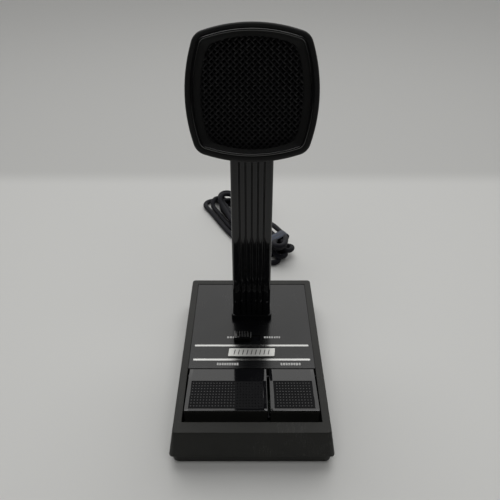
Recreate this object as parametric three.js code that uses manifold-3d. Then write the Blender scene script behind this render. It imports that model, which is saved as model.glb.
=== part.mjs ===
// Desk microphone with a squircle head on a grooved column and a base with two press bars.
// Millimetres, +Z up. The front faces -Y. The origin is under the middle of the base, on the table.

import * as THREE from 'three';
import { mergeVertices } from 'three/addons/utils/BufferGeometryUtils.js';
import Module from 'manifold-3d';

const wasm = await Module();
wasm.setup();

// ---------------------------------------------------------------- driving dimensions

const GAP = 0.3;                 // clearance between neighbouring pieces

// base
const BASE_TOP = 27.5;           // height of the rim round the top panel
const SKIRT_BOTTOM = 8.2;        // lower edge of the sloping base shell
const TOP_WIDTH = 100;
const TOP_LENGTH = 158;
const FLARE = 3.1;               // how far each side slopes out from rim to skirt
const SHELL_WALL = 2.4;
const CORNER = 2.5;
const RECESS_HALF_WIDTH = 44.9;
const RECESS_DEPTH = 1.1;
const RECESS_BACK = 73.4;
const WELL_BACK = -23.6;
const WELL_FRONT = -70.3;
const WELL_WALL = 2;
const LEDGE_TOP = 15.2;          // stop under the front edge of the press bars

// bottom tray and what stands on it
const TRAY_BOTTOM = 1;
const TRAY_TOP = SKIRT_BOTTOM - GAP;
const TRAY_WIDTH = 102.4;
const TRAY_LENGTH = 160.4;
const TRAY_FLOOR = 2.2;
const TRAY_WALL = 2.2;
const FOOT_RADIUS = 6;
const BOSS_X = 41.5;
const BOSS_FRONT_Y = -70.5;
const BOSS_BACK_Y = 70;
const FOOT_X = 38;
const FOOT_Y = 56;
const BOARD_BOTTOM = 9;
const BOARD_THICKNESS = 1.6;

// press bars
const AXLE_Y = -27;
const AXLE_Z = 21.8;
const AXLE_RADIUS = 1.5;
const BAR_BACK = WELL_BACK - 0.5;
const BAR_FRONT = -64.7;
const BAR_BACK_TOP = 27.1;
const BAR_FRONT_TOP = 31.3;
const BAR_BOTTOM = 19.6;
const BAR_WALL = 2;
const TRANSMIT_X = [-43.7, 10.3];
const MONITOR_X = [12.1, 43.7];
const PLUNGER_Y = AXLE_Y - 15;
const SPRING_Y = AXLE_Y - 25;

// lock slider in the top panel
const LOCK_SLOT = [-12, 6.5];
const LOCK_Y = 7.5;

// column
const STEM_WIDTH = 28.5;
const STEM_FRONT = 29;
const STEM_DEPTH = 13;
const STEM_BOTTOM = BASE_TOP - RECESS_DEPTH + 0.2;
const STEM_TOP = 200;
const STEM_WALL = 2.95;
const GROOVE_COUNT = 5;
const GROOVE_SPACING = 4.2;
const GROOVE_WIDTH = 1.1;
const GROOVE_DEPTH = 0.9;
const STEM_MIDDLE = STEM_FRONT + STEM_DEPTH / 2;
const LEAD_BORE = 2.6;
const STEM_SCREW_X = 6.8;
const STEM_SCREW_Z = 44;
const HEAD_SCREW_Z = 186;

// head, in a frame whose face looks along -Y and leans back by HEAD_TILT
const HEAD_TILT = THREE.MathUtils.degToRad(18);
const HEAD_CENTRE = new THREE.Vector3(0, 3.5, 214.5);
const FACE_HALF = 38;
const SIDE_RADIUS = 90;
const FACE_CORNER = 9;
const BEZEL_DEPTH = 8;
const OPENING_HALF_X = 29.25;
const OPENING_HALF_Z = 31;
const HEAD_SHELL_INSET = 1.6;    // rear shell is this much smaller than the bezel all round
const HEAD_BACK = 46;            // the rear shell's back is an upright plane at this Y
const HEAD_WALL = 2.4;
const HEAD_BOSS = 25.5;
const HEAD_BOSS_RADIUS = 2.6;

// cord
const CORD_DIAMETER = 5.5;
const CORD_EXIT = new THREE.Vector3(0, 82, 15);
const GLAND_LENGTH = 26;
const HANK_MIDDLE = new THREE.Vector2(-7.5, 208);
const HANK_DIRECTION = new THREE.Vector2(-0.53, 0.848);
const HANK_LENGTH = 166;
const HANK_HALF_WIDTH = 21;
const HANK_BOTTOM = 1.4;
const HANK_HEIGHT = 20;
const TIE_AT = -55;              // place of the tie along the hank, from its middle
const TIE_WIDTH = 10;
const WAIST_HALF_WIDTH = 12.5;

// ---------------------------------------------------------------- solids

function toSolid(geometry) {
  const bare = geometry.clone();
  bare.deleteAttribute('normal');
  bare.deleteAttribute('uv');
  const merged = mergeVertices(bare, 1e-4);
  const vertProperties = new Float32Array(merged.attributes.position.array);
  const triVerts = new Uint32Array(merged.index.array);
  return new wasm.Manifold(new wasm.Mesh({ numProp: 3, vertProperties, triVerts }));
}

function toGeometry(solid) {
  const mesh = solid.getMesh();
  const geometry = new THREE.BufferGeometry();
  geometry.setAttribute('position', new THREE.BufferAttribute(new Float32Array(mesh.vertProperties), 3));
  geometry.setIndex(new THREE.BufferAttribute(new Uint32Array(mesh.triVerts), 1));
  return geometry;
}

function cut(geometry, ...tools) {
  let solid = toSolid(geometry);
  for (const tool of tools) {
    solid = solid.subtract(toSolid(tool));
  }
  return toGeometry(solid);
}

function join(geometry, ...others) {
  let solid = toSolid(geometry);
  for (const other of others) {
    solid = solid.add(toSolid(other));
  }
  return toGeometry(solid);
}

function common(first, second) {
  return toGeometry(toSolid(first).intersect(toSolid(second)));
}

// ---------------------------------------------------------------- shapes

function box([x0, x1], [y0, y1], [z0, z1]) {
  const geometry = new THREE.BoxGeometry(x1 - x0, y1 - y0, z1 - z0);
  return geometry.translate((x0 + x1) / 2, (y0 + y1) / 2, (z0 + z1) / 2);
}

function roundedRectangle(width, length, radius) {
  const x = width / 2 - radius;
  const y = length / 2 - radius;
  const shape = new THREE.Shape();
  shape.absarc(x, y, radius, 0, Math.PI / 2);
  shape.absarc(-x, y, radius, Math.PI / 2, Math.PI);
  shape.absarc(-x, -y, radius, Math.PI, 1.5 * Math.PI);
  shape.absarc(x, -y, radius, 1.5 * Math.PI, 2 * Math.PI);
  shape.closePath();
  return shape;
}

function prism(shape, [z0, z1], curveSegments = 2) {
  const geometry = new THREE.ExtrudeGeometry(shape, { depth: z1 - z0, bevelEnabled: false, curveSegments });
  return geometry.translate(0, 0, z0);
}

// A block with rounded corners whose lower and upper outlines differ by a straight slope.
function slopedBlock(lower, upper, radius, [z0, z1]) {
  const geometry = prism(roundedRectangle(lower[0], lower[1], radius), [z0, z1]);
  const position = geometry.attributes.position;
  for (let i = 0; i < position.count; i += 1) {
    if (position.getZ(i) > (z0 + z1) / 2) {
      position.setX(i, position.getX(i) * upper[0] / lower[0]);
      position.setY(i, position.getY(i) * upper[1] / lower[1]);
    }
  }
  return geometry;
}

function cylinderZ(radius, [z0, z1], x = 0, y = 0, sides = 16) {
  const geometry = new THREE.CylinderGeometry(radius, radius, z1 - z0, sides);
  return geometry.rotateX(Math.PI / 2).translate(x, y, (z0 + z1) / 2);
}

function cylinderX(radius, [x0, x1], y, z, sides = 20) {
  const geometry = new THREE.CylinderGeometry(radius, radius, x1 - x0, sides);
  return geometry.rotateZ(Math.PI / 2).translate((x0 + x1) / 2, y, z);
}

function cylinderY(radius, [y0, y1], x, z, sides = 20) {
  const geometry = new THREE.CylinderGeometry(radius, radius, y1 - y0, sides);
  return geometry.translate(x, (y0 + y1) / 2, z);
}

// A tube of round section that follows a smooth curve through the points.
function tubeAlong(points, radius, steps, sides) {
  const section = new THREE.Shape();
  section.absarc(0, 0, radius, 0, 2 * Math.PI);
  const extrudePath = new THREE.CatmullRomCurve3(points, false, 'centripetal');
  return new THREE.ExtrudeGeometry(section, { steps, extrudePath, curveSegments: sides / 2, bevelEnabled: false });
}

// A pan-head screw that points along +Z, its head's underside at z = 0.
function screwGeometry(headRadius, headHeight, shankRadius, shankLength) {
  const profile = [
    new THREE.Vector2(0, -headHeight),
    new THREE.Vector2(headRadius * 0.7, -headHeight),
    new THREE.Vector2(headRadius, -headHeight * 0.45),
    new THREE.Vector2(headRadius, 0),
    new THREE.Vector2(shankRadius, 0),
    new THREE.Vector2(shankRadius, shankLength - shankRadius),
    new THREE.Vector2(0, shankLength),
  ];
  return new THREE.LatheGeometry(profile, 12).rotateX(Math.PI / 2);
}

// The face outline: four bowed sides of one radius joined by tight corners. inset shrinks it.
function squircle(halfX, halfZ, inset = 0) {
  const half = FACE_HALF - inset;
  const side = SIDE_RADIUS - inset;
  const corner = FACE_CORNER - inset * 0.3;
  const reach = side - half;
  const cornerAt = -reach / 2 + Math.sqrt(((side - corner) ** 2) / 2 - (reach ** 2) / 4);
  const turn = Math.atan2(cornerAt + reach, cornerAt);
  const shape = new THREE.Shape();
  for (let k = 0; k < 4; k += 1) {
    const quarter = (k * Math.PI) / 2;
    const sideAt = new THREE.Vector2(-reach, 0).rotateAround(new THREE.Vector2(), quarter);
    const roundAt = new THREE.Vector2(cornerAt, cornerAt).rotateAround(new THREE.Vector2(), quarter);
    const spread = Math.PI / 2 - turn;
    shape.absarc(sideAt.x, sideAt.y, side, quarter - spread, quarter + spread);
    shape.absarc(roundAt.x, roundAt.y, corner, quarter + spread, quarter + turn);
  }
  shape.closePath();
  const points = shape.getPoints(3);
  const scaled = points.map((p) => new THREE.Vector2(p.x * halfX / half, p.y * halfZ / half));
  return new THREE.Shape(scaled);
}

// Extrudes an outline drawn in X and Z from y0 to y1, where +Y is towards the back of the head.
function headPrism(shape, [y0, y1]) {
  return prism(shape, [0, y1 - y0]).rotateX(Math.PI / 2).translate(0, y1, 0);
}

// ---------------------------------------------------------------- the assembly

const group = new THREE.Group();
group.name = 'desk_microphone';
const head = new THREE.Group();
head.position.copy(HEAD_CENTRE);
head.rotation.x = -HEAD_TILT;
group.add(head);
head.updateMatrix();
const intoHead = head.matrix.clone().invert();

const FINISHES = {
  shell: { color: 0x302f2d, roughness: 0.55, metalness: 0 },
  panel: { color: 0x3a3b3d, roughness: 0.3, metalness: 0 },
  silver: { color: 0xc9cac6, roughness: 0.28, metalness: 1 },
  bar: { color: 0x35363a, roughness: 0.3, metalness: 0 },
  column: { color: 0x08090a, roughness: 0.12, metalness: 0 },
  head: { color: 0x0c0c0e, roughness: 0.4, metalness: 0 },
  mesh: { color: 0x16171a, roughness: 0.45, metalness: 0.6 },
  foam: { color: 0x101010, roughness: 0.95, metalness: 0 },
  steel: { color: 0x9a9c9e, roughness: 0.35, metalness: 1 },
  screw: { color: 0x2a2a2c, roughness: 0.4, metalness: 0.9 },
  rubber: { color: 0x141414, roughness: 0.85, metalness: 0 },
  board: { color: 0x2c5a34, roughness: 0.5, metalness: 0 },
  cord: { color: 0x0d0d0e, roughness: 0.5, metalness: 0 },
  tie: { color: 0x2b4a72, roughness: 0.6, metalness: 0 },
};

function add(name, geometry, finish, parent = group) {
  const mesh = new THREE.Mesh(geometry, new THREE.MeshStandardMaterial(FINISHES[finish]));
  mesh.name = name;
  parent.add(mesh);
  return mesh;
}

// ---------------------------------------------------------------- base shell

const SIDES = [['left', -1], ['right', 1]];
const skirtWidth = TOP_WIDTH + 2 * FLARE;
const skirtLength = TOP_LENGTH + 2 * FLARE;
const shellUnderside = BASE_TOP - SHELL_WALL;
const recessFloor = BASE_TOP - RECESS_DEPTH;

function outerSlope(z) {
  return FLARE * (BASE_TOP - z) / (BASE_TOP - SKIRT_BOTTOM);
}

function bossPlaces() {
  const places = [];
  for (const [side, sign] of SIDES) {
    places.push([`front_${side}`, sign * BOSS_X, BOSS_FRONT_Y]);
    places.push([`rear_${side}`, sign * BOSS_X, BOSS_BACK_Y]);
  }
  return places;
}

function baseShell() {
  const outer = slopedBlock([skirtWidth, skirtLength], [TOP_WIDTH, TOP_LENGTH], CORNER, [SKIRT_BOTTOM, BASE_TOP]);
  const low = 2 * (outerSlope(SKIRT_BOTTOM - 1) - SHELL_WALL);
  const high = 2 * (outerSlope(shellUnderside) - SHELL_WALL);
  const inner = slopedBlock(
    [TOP_WIDTH + low, TOP_LENGTH + low],
    [TOP_WIDTH + high, TOP_LENGTH + high],
    1,
    [SKIRT_BOTTOM - 1, shellUnderside],
  );
  const wellX = RECESS_HALF_WIDTH;
  const wellTop = shellUnderside + 0.5;
  const wellWalls = cut(
    box([-wellX - WELL_WALL, wellX + WELL_WALL], [WELL_FRONT - WELL_WALL, WELL_BACK + WELL_WALL], [16, wellTop]),
    box([-wellX, wellX], [WELL_FRONT, WELL_BACK], [15, BASE_TOP]),
    box([-wellX, wellX], [WELL_BACK - 1, WELL_BACK + 5], [15, 21.5]),
  );
  const ledge = box(
    [-wellX - WELL_WALL, wellX + WELL_WALL],
    [WELL_FRONT - WELL_WALL, WELL_FRONT + 11],
    [LEDGE_TOP - 2, LEDGE_TOP],
  );
  const ledgeWall = box(
    [-wellX - WELL_WALL, wellX + WELL_WALL],
    [WELL_FRONT - WELL_WALL, WELL_FRONT],
    [LEDGE_TOP - 1, 16.5],
  );
  let shell = join(cut(outer, inner), wellWalls, ledge, ledgeWall);
  for (const [, x, y] of bossPlaces()) {
    const top = y > 0 ? shellUnderside + 0.5 : LEDGE_TOP - 1;
    shell = join(shell, cylinderZ(3.8, [TRAY_BOTTOM + TRAY_FLOOR + GAP, top], x, y));
    shell = cut(shell, cylinderZ(1.8, [0, top - 2], x, y));
  }
  const tongueX = STEM_WIDTH / 2 - STEM_WALL;
  const bracketHoles = SIDES.map(([, sign]) => cylinderZ(1.7, [20, BASE_TOP], sign * 17.5, STEM_MIDDLE));
  return cut(
    shell,
    box([-wellX, wellX], [WELL_BACK - 1, RECESS_BACK], [recessFloor, BASE_TOP + 1]),
    box([-wellX, wellX], [WELL_FRONT, WELL_BACK], [LEDGE_TOP + 1, BASE_TOP + 1]),
    box([-tongueX, tongueX], [STEM_FRONT + 2.9, STEM_FRONT + STEM_DEPTH - 2.9], [20, BASE_TOP]),
    box(LOCK_SLOT, [LOCK_Y - 3, LOCK_Y + 3], [20, BASE_TOP]),
    cylinderX(AXLE_RADIUS + 0.05, [-wellX - 4, wellX + 4], AXLE_Y, AXLE_Z),
    cylinderY(5.2, [70, 90], CORD_EXIT.x, CORD_EXIT.z),
    ...bracketHoles,
  );
}

add('base_shell', baseShell(), 'shell');

// ---------------------------------------------------------------- bottom tray, feet and screws

function footPlaces() {
  const places = [];
  for (const [side, sign] of SIDES) {
    places.push([`front_${side}`, sign * FOOT_X, -FOOT_Y]);
    places.push([`rear_${side}`, sign * FOOT_X, FOOT_Y]);
  }
  return places;
}

function bottomTray() {
  const grow = 1.2;
  const outer = slopedBlock(
    [TRAY_WIDTH, TRAY_LENGTH],
    [TRAY_WIDTH + grow, TRAY_LENGTH + grow],
    4,
    [TRAY_BOTTOM, TRAY_TOP],
  );
  const inner = slopedBlock(
    [TRAY_WIDTH - 2 * TRAY_WALL, TRAY_LENGTH - 2 * TRAY_WALL],
    [TRAY_WIDTH + grow - 2 * TRAY_WALL, TRAY_LENGTH + grow - 2 * TRAY_WALL],
    2,
    [TRAY_BOTTOM + TRAY_FLOOR, TRAY_TOP + 2],
  );
  let tray = cut(outer, inner);
  for (const [x, y] of boardPosts()) {
    tray = join(tray, cylinderZ(3, [TRAY_BOTTOM + 1, BOARD_BOTTOM - GAP], x, y, 16));
    tray = cut(tray, cylinderZ(1.5, [TRAY_BOTTOM + TRAY_FLOOR, BOARD_BOTTOM + 1], x, y, 16));
  }
  for (const [, x, y] of bossPlaces()) {
    tray = cut(tray, cylinderZ(3.6, [0, TRAY_BOTTOM + 1.3], x, y), cylinderZ(1.8, [0, 6], x, y));
  }
  for (const [, x, y] of footPlaces()) {
    tray = cut(tray, cylinderZ(FOOT_RADIUS + GAP, [0, TRAY_BOTTOM + 0.9], x, y));
  }
  return tray;
}

function boardPosts() {
  return [[-30, -30], [12, -52.5]];
}

add('bottom_tray', bottomTray(), 'shell');

for (const [place, x, y] of footPlaces()) {
  add(`foot_${place}`, cylinderZ(FOOT_RADIUS, [0, TRAY_BOTTOM + 0.7], x, y), 'rubber');
}

for (const [place, x, y] of bossPlaces()) {
  const screw = add(`base_screw_${place}`, screwGeometry(3, 0.9, 1.4, 9), 'screw');
  screw.position.set(x, y, TRAY_BOTTOM + 1);
}

// ---------------------------------------------------------------- ballast in the tray

const ballastBottom = TRAY_BOTTOM + TRAY_FLOOR + GAP;
const ballastTop = ballastBottom + 6;
const ballastY = [6, 62];

const ballastBlock = prism(roundedRectangle(76, ballastY[1] - ballastY[0], 4), [ballastBottom, ballastTop]);
add('ballast_weight', ballastBlock.translate(0, (ballastY[0] + ballastY[1]) / 2, 0), 'steel');

// ---------------------------------------------------------------- circuit board and switches

const boardTop = BOARD_BOTTOM + BOARD_THICKNESS;
const boardY = [-57.5, -26];
const switchX = { transmit: (TRANSMIT_X[0] + TRANSMIT_X[1]) / 2, monitor: (MONITOR_X[0] + MONITOR_X[1]) / 2 };

const postHoles = boardPosts().map(([x, y]) => cylinderZ(1.6, [5, 15], x, y, 16));
add('circuit_board', cut(box([-36, 36], boardY, [BOARD_BOTTOM, boardTop]), ...postHoles), 'board');

boardPosts().forEach(([x, y], i) => {
  const screw = add(`board_screw_${i + 1}`, screwGeometry(2.6, 1.4, 1.2, 5.5), 'screw');
  screw.rotation.x = Math.PI;
  screw.position.set(x, y, boardTop + GAP);
});

add('board_capacitor', cylinderZ(3.2, [boardTop + 0.1, boardTop + 7], -1, -50, 20), 'panel');
add('board_connector', box([-6, 8], [-31.5, -27], [boardTop + 0.1, boardTop + 4.5]), 'mesh');

function addSwitch(name, x) {
  const bodyTop = boardTop + 6.2;
  const body = box([x - 6.2, x + 6.2], [PLUNGER_Y - 3.2, PLUNGER_Y + 3.2], [boardTop + 0.1, bodyTop]);
  add(`${name}_switch`, cut(body, cylinderZ(1.7, [boardTop + 1.3, bodyTop + 1], x, PLUNGER_Y)), 'mesh');
  add(`${name}_plunger`, cylinderZ(1.4, [boardTop + 3.3, BAR_BOTTOM], x, PLUNGER_Y), 'silver');
}

addSwitch('transmit', switchX.transmit);
addSwitch('monitor', switchX.monitor);

// ---------------------------------------------------------------- press bars, axle and springs

function barTopAt(y) {
  return BAR_BACK_TOP + (BAR_FRONT_TOP - BAR_BACK_TOP) * (BAR_BACK - y) / (BAR_BACK - BAR_FRONT);
}

// Extrudes an outline drawn in Y and Z along X.
function acrossX(outline, [x0, x1]) {
  const shape = new THREE.Shape(outline.map(([y, z]) => new THREE.Vector2(y, z)));
  const geometry = prism(shape, [0, x1 - x0]);
  const turn = new THREE.Matrix4().makeBasis(
    new THREE.Vector3(0, 1, 0),
    new THREE.Vector3(0, 0, 1),
    new THREE.Vector3(1, 0, 0),
  );
  return geometry.applyMatrix4(turn).translate(x0, 0, 0);
}

function pressBar([x0, x1], plungerX) {
  const hollowBack = AXLE_Y - 3.6;
  const hollowFront = BAR_FRONT + BAR_WALL;
  const outer = acrossX([
    [BAR_BACK, BAR_BACK_TOP],
    [BAR_FRONT, BAR_FRONT_TOP],
    [BAR_FRONT - 0.4, BAR_BOTTOM],
    [BAR_BACK, BAR_BOTTOM],
  ], [x0, x1]);
  const hollow = acrossX([
    [hollowBack, barTopAt(hollowBack) - BAR_WALL],
    [hollowFront, barTopAt(hollowFront) - BAR_WALL],
    [hollowFront, BAR_BOTTOM - 1],
    [hollowBack, BAR_BOTTOM - 1],
  ], [x0 + BAR_WALL, x1 - BAR_WALL]);
  const pad = box([plungerX - 3, plungerX + 3], [PLUNGER_Y - 3, PLUNGER_Y + 3], [BAR_BOTTOM + GAP, 28]);
  const bore = cylinderX(AXLE_RADIUS + 0.1, [x0 - 1, x1 + 1], AXLE_Y, AXLE_Z);
  return cut(join(cut(outer, hollow), pad), bore);
}

add('transmit_bar', pressBar(TRANSMIT_X, switchX.transmit), 'bar');
add('monitor_bar', pressBar(MONITOR_X, switchX.monitor), 'bar');

const axleEnd = RECESS_HALF_WIDTH + WELL_WALL - 0.2;
add('bar_axle', cylinderX(AXLE_RADIUS, [-axleEnd, axleEnd], AXLE_Y, AXLE_Z), 'steel');

function returnSpring(x) {
  const wire = 0.45;
  const radius = 2.8;
  const turns = 5;
  const bottom = boardTop + wire + 0.2;
  const top = barTopAt(SPRING_Y) - BAR_WALL - wire - GAP;
  const perTurn = 9;
  const points = [];
  for (let i = 0; i <= turns * perTurn; i += 1) {
    const angle = (i * 2 * Math.PI) / perTurn;
    const z = bottom + (top - bottom) * i / (turns * perTurn);
    points.push(new THREE.Vector3(x + radius * Math.cos(angle), SPRING_Y + radius * Math.sin(angle), z));
  }
  return tubeAlong(points, wire, turns * perTurn, 6);
}

add('transmit_spring', returnSpring(switchX.transmit), 'steel');
add('monitor_spring', returnSpring(switchX.monitor), 'steel');

// ---------------------------------------------------------------- top panel, badge and lock slider

function stemOutline(grow = 0) {
  const halfX = STEM_WIDTH / 2 + grow;
  const halfY = STEM_DEPTH / 2 + grow;
  return prism(roundedRectangle(2 * halfX, 2 * halfY, 1.8 + grow), [-1, 400]).translate(0, STEM_MIDDLE, 0);
}

const panelBottom = recessFloor + 0.1;
const panelTop = BASE_TOP - 0.4;

function topPanel() {
  const reachX = RECESS_HALF_WIDTH - 0.2;
  const plate = box([-reachX, reachX], [WELL_BACK + 0.1, RECESS_BACK - 0.2], [panelBottom, panelTop]);
  return cut(plate, stemOutline(GAP), box(LOCK_SLOT, [LOCK_Y - 3, LOCK_Y + 3], [0, 50]));
}

add('top_panel', topPanel(), 'panel');

function badgePlate() {
  const outline = new THREE.Shape([
    new THREE.Vector2(-17.2, -4.1),
    new THREE.Vector2(16.4, -4.1),
    new THREE.Vector2(17.2, 4.1),
    new THREE.Vector2(-16.4, 4.1),
  ]);
  return prism(outline, [panelTop + 0.05, panelTop + 0.75]).translate(0, -8.2, 0);
}

add('badge_plate', badgePlate(), 'silver');

const knobX = LOCK_SLOT[0] + 5.2;

function lockSlider() {
  const cap = prism(roundedRectangle(13, 8.4, 1.2), [panelTop + GAP, panelTop + 4.2]);
  cap.translate(knobX, LOCK_Y, 0);
  const neck = box([knobX - 4, knobX + 4], [LOCK_Y - 2.4, LOCK_Y + 2.4], [17.2, panelTop + 1]);
  return join(cap, neck);
}

add('lock_slider', lockSlider(), 'head');

const lockBody = box([LOCK_SLOT[0] - 6, LOCK_SLOT[1] + 6], [LOCK_Y - 6, LOCK_Y + 6], [12.5, shellUnderside - GAP]);
const lockSlot = box([LOCK_SLOT[0] - 0.2, LOCK_SLOT[1] + 0.2], [LOCK_Y - 3, LOCK_Y + 3], [16.5, 30]);
add('lock_switch', cut(lockBody, lockSlot), 'mesh');

// ---------------------------------------------------------------- column and its foot

function stemColumn() {
  const bore = prism(
    roundedRectangle(STEM_WIDTH - 2 * STEM_WALL, STEM_DEPTH - 2 * STEM_WALL, 1),
    [0, STEM_TOP + 10],
  ).translate(0, STEM_MIDDLE, 0);
  const length = box([-50, 50], [0, 100], [STEM_BOTTOM, STEM_TOP]);
  const column = cut(common(stemOutline(), length), bore);
  const grooves = [];
  for (let i = 0; i < GROOVE_COUNT; i += 1) {
    const x = (i - (GROOVE_COUNT - 1) / 2) * GROOVE_SPACING;
    const across = [x - GROOVE_WIDTH / 2, x + GROOVE_WIDTH / 2];
    grooves.push(box(across, [STEM_FRONT - 1, STEM_FRONT + GROOVE_DEPTH], [0, STEM_TOP + 10]));
  }
  return cut(column, ...grooves, ...stemScrewHoles());
}

function stemScrewHoles() {
  const holes = [];
  for (const [, sign] of SIDES) {
    for (const z of [STEM_SCREW_Z, HEAD_SCREW_Z]) {
      holes.push(cylinderY(1.6, [STEM_MIDDLE - 2, 60], sign * STEM_SCREW_X, z, 16));
    }
  }
  return holes;
}

add('stem_column', stemColumn(), 'column');

const collarBlank = prism(roundedRectangle(STEM_WIDTH + 2.8, STEM_DEPTH + 2.8, 2.4), [panelTop + 0.1, panelTop + 4.8]);
collarBlank.translate(0, STEM_MIDDLE, 0);
add('stem_collar', cut(collarBlank, stemOutline(GAP)), 'column');

const tongueHalfX = STEM_WIDTH / 2 - STEM_WALL - GAP;
const tongueY = [STEM_FRONT + STEM_WALL + GAP, STEM_FRONT + STEM_DEPTH - STEM_WALL - GAP];
const leadBore = cylinderZ(LEAD_BORE, [0, 300], 0, STEM_MIDDLE, 20);

function stemBracket() {
  const flange = box([-21, 21], [24, 47], [21.6, shellUnderside - GAP]);
  const tongue = box([-tongueHalfX, tongueHalfX], tongueY, [22, 60]);
  const holes = SIDES.map(([, sign]) => cylinderZ(1.7, [10, 30], sign * 17.5, STEM_MIDDLE));
  return cut(join(flange, tongue), leadBore, ...holes, ...stemScrewHoles());
}

add('stem_bracket', stemBracket(), 'steel');

for (const [side, sign] of SIDES) {
  const flangeScrew = add(`bracket_screw_${side}`, screwGeometry(2.8, 1.6, 1.4, 4.6), 'screw');
  flangeScrew.position.set(sign * 17.5, STEM_MIDDLE, 21.6 - GAP);
  const stemScrew = add(`stem_screw_${side}`, screwGeometry(2.6, 1.5, 1.3, 6.5), 'screw');
  stemScrew.rotation.x = Math.PI / 2;
  stemScrew.position.set(sign * STEM_SCREW_X, STEM_FRONT + STEM_DEPTH + 0.1, STEM_SCREW_Z);
}

// ---------------------------------------------------------------- head

function headBosses(radius, range) {
  const bosses = [];
  for (const x of [-HEAD_BOSS, HEAD_BOSS]) {
    for (const z of [-HEAD_BOSS, HEAD_BOSS]) {
      bosses.push(cylinderY(radius, range, x, z, 16));
    }
  }
  return bosses;
}

const opening = squircle(OPENING_HALF_X, OPENING_HALF_Z);
const seat = squircle(OPENING_HALF_X + 1.4, OPENING_HALF_Z + 1.4);

function headBezel() {
  const rim = new THREE.ExtrudeGeometry(squircle(FACE_HALF - 0.8, FACE_HALF - 0.8), {
    depth: 2 * BEZEL_DEPTH,
    bevelThickness: 0.8,
    bevelSize: 0.8,
    bevelSegments: 2,
  }).rotateX(Math.PI / 2).translate(0, 2 * BEZEL_DEPTH + 0.8, 0);
  const block = common(rim, box([-50, 50], [-5, BEZEL_DEPTH], [-50, 50]));
  const flare = new THREE.ExtrudeGeometry(opening, {
    depth: 0.1,
    bevelThickness: 4.6,
    bevelSize: 3.6,
    bevelSegments: 3,
  }).rotateX(Math.PI / 2);
  const ring = cut(
    block,
    headPrism(opening, [-2, 5]),
    headPrism(seat, [4.9, 6.8]),
    headPrism(squircle(OPENING_HALF_X - 1.5, OPENING_HALF_Z - 1.5), [4, 12]),
    flare,
  );
  const bosses = headBosses(HEAD_BOSS_RADIUS, [7, 19]);
  return cut(join(ring, ...bosses), ...headBosses(1.3, [9, 22]));
}

add('head_bezel', headBezel(), 'head', head);

const grilleOutline = squircle(OPENING_HALF_X + 1.1, OPENING_HALF_Z + 1.1);
add('grille', headPrism(grilleOutline, [5.2, 6.2]), 'mesh', head);

const padOutline = squircle(OPENING_HALF_X - 2.2, OPENING_HALF_Z - 2.2);
add('foam_pad', cut(headPrism(padOutline, [6.6, 11]), ...headBosses(HEAD_BOSS_RADIUS + GAP, [0, 20])), 'foam', head);

const CAPSULE_Z = 3;
const baffleHole = cylinderY(16, [5, 20], 0, CAPSULE_Z, 40);
const baffle = cut(headPrism(padOutline, [11.4, 13.4]), baffleHole, ...headBosses(HEAD_BOSS_RADIUS + GAP, [0, 20]));
add('capsule_baffle', baffle, 'panel', head);

function ringY(inner, outer, [y0, y1], x, z) {
  return cut(cylinderY(outer, [y0, y1], x, z, 40), cylinderY(inner, [y0 - 1, y1 + 1], x, z, 40));
}

add('capsule_ring', ringY(12.4, 15.7, [11.4, 17], 0, CAPSULE_Z), 'rubber', head);

function capsule() {
  const can = cylinderY(12, [11.6, 24], 0, CAPSULE_Z, 40);
  const stud = cylinderY(5, [23.5, 26], 0, CAPSULE_Z, 24);
  return join(can, stud);
}

add('capsule', capsule(), 'steel', head);

// Rear shell: the face outline drawn backwards, with its back leaned upright.
function headBody(inset, back) {
  const half = FACE_HALF - HEAD_SHELL_INSET - inset;
  const rounding = 9;
  const depth = 60;
  const solid = new THREE.ExtrudeGeometry(squircle(half - rounding, half - rounding), {
    depth: 2 * depth,
    bevelThickness: rounding,
    bevelSize: rounding,
    bevelSegments: 3,
  }).rotateX(Math.PI / 2).translate(0, depth, 0);
  const position = solid.attributes.position;
  const endAt = depth + rounding;
  for (let i = 0; i < position.count; i += 1) {
    const y = position.getY(i);
    const z = position.getZ(i);
    const wall = (back - HEAD_CENTRE.y) / Math.cos(HEAD_TILT) - z * Math.tan(HEAD_TILT);
    position.setY(i, y - endAt + wall);
  }
  return solid;
}

function rearShell() {
  const keep = box([-60, 60], [BEZEL_DEPTH + GAP, 90], [-60, 60]);
  const outer = common(headBody(0, HEAD_BACK), keep);
  const hollow = headBody(HEAD_WALL, HEAD_BACK - HEAD_WALL);
  const bosses = headBosses(5, [21, 80]).map((boss) => common(boss, outer));
  const column = stemOutline(GAP).applyMatrix4(intoHead);
  const below = common(column, box([-60, 60], [0, 90], [-60, 5]));
  const screwHoles = SIDES.map(([, sign]) => cylinderY(1.6, [30, 60], sign * STEM_SCREW_X, HEAD_SCREW_Z, 16));
  const throughBack = screwHoles.map((hole) => hole.applyMatrix4(intoHead));
  return cut(
    join(cut(outer, hollow), ...bosses),
    below,
    ...headBosses(HEAD_BOSS_RADIUS + GAP, [0, 19 + GAP]),
    ...headBosses(3.6, [25, 90]),
    ...headBosses(1.5, [10, 30]),
    ...throughBack,
  );
}

add('head_rear_shell', rearShell(), 'head', head);

let screwNumber = 0;
for (const x of [-HEAD_BOSS, HEAD_BOSS]) {
  for (const z of [-HEAD_BOSS, HEAD_BOSS]) {
    screwNumber += 1;
    const screw = add(`bezel_screw_${screwNumber}`, screwGeometry(3, 1.8, 1.1, 14), 'screw', head);
    screw.rotation.x = Math.PI / 2;
    screw.position.set(x, 25 + GAP, z);
  }
}

function headBracket() {
  const tongue = box([-tongueHalfX, tongueHalfX], tongueY, [172, 207]);
  const slot = box([-LEAD_BORE, LEAD_BORE], [20, STEM_MIDDLE], [STEM_TOP - 4, 220]);
  return cut(tongue, leadBore, slot, ...stemScrewHoles());
}

add('head_bracket', headBracket(), 'steel');

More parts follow.
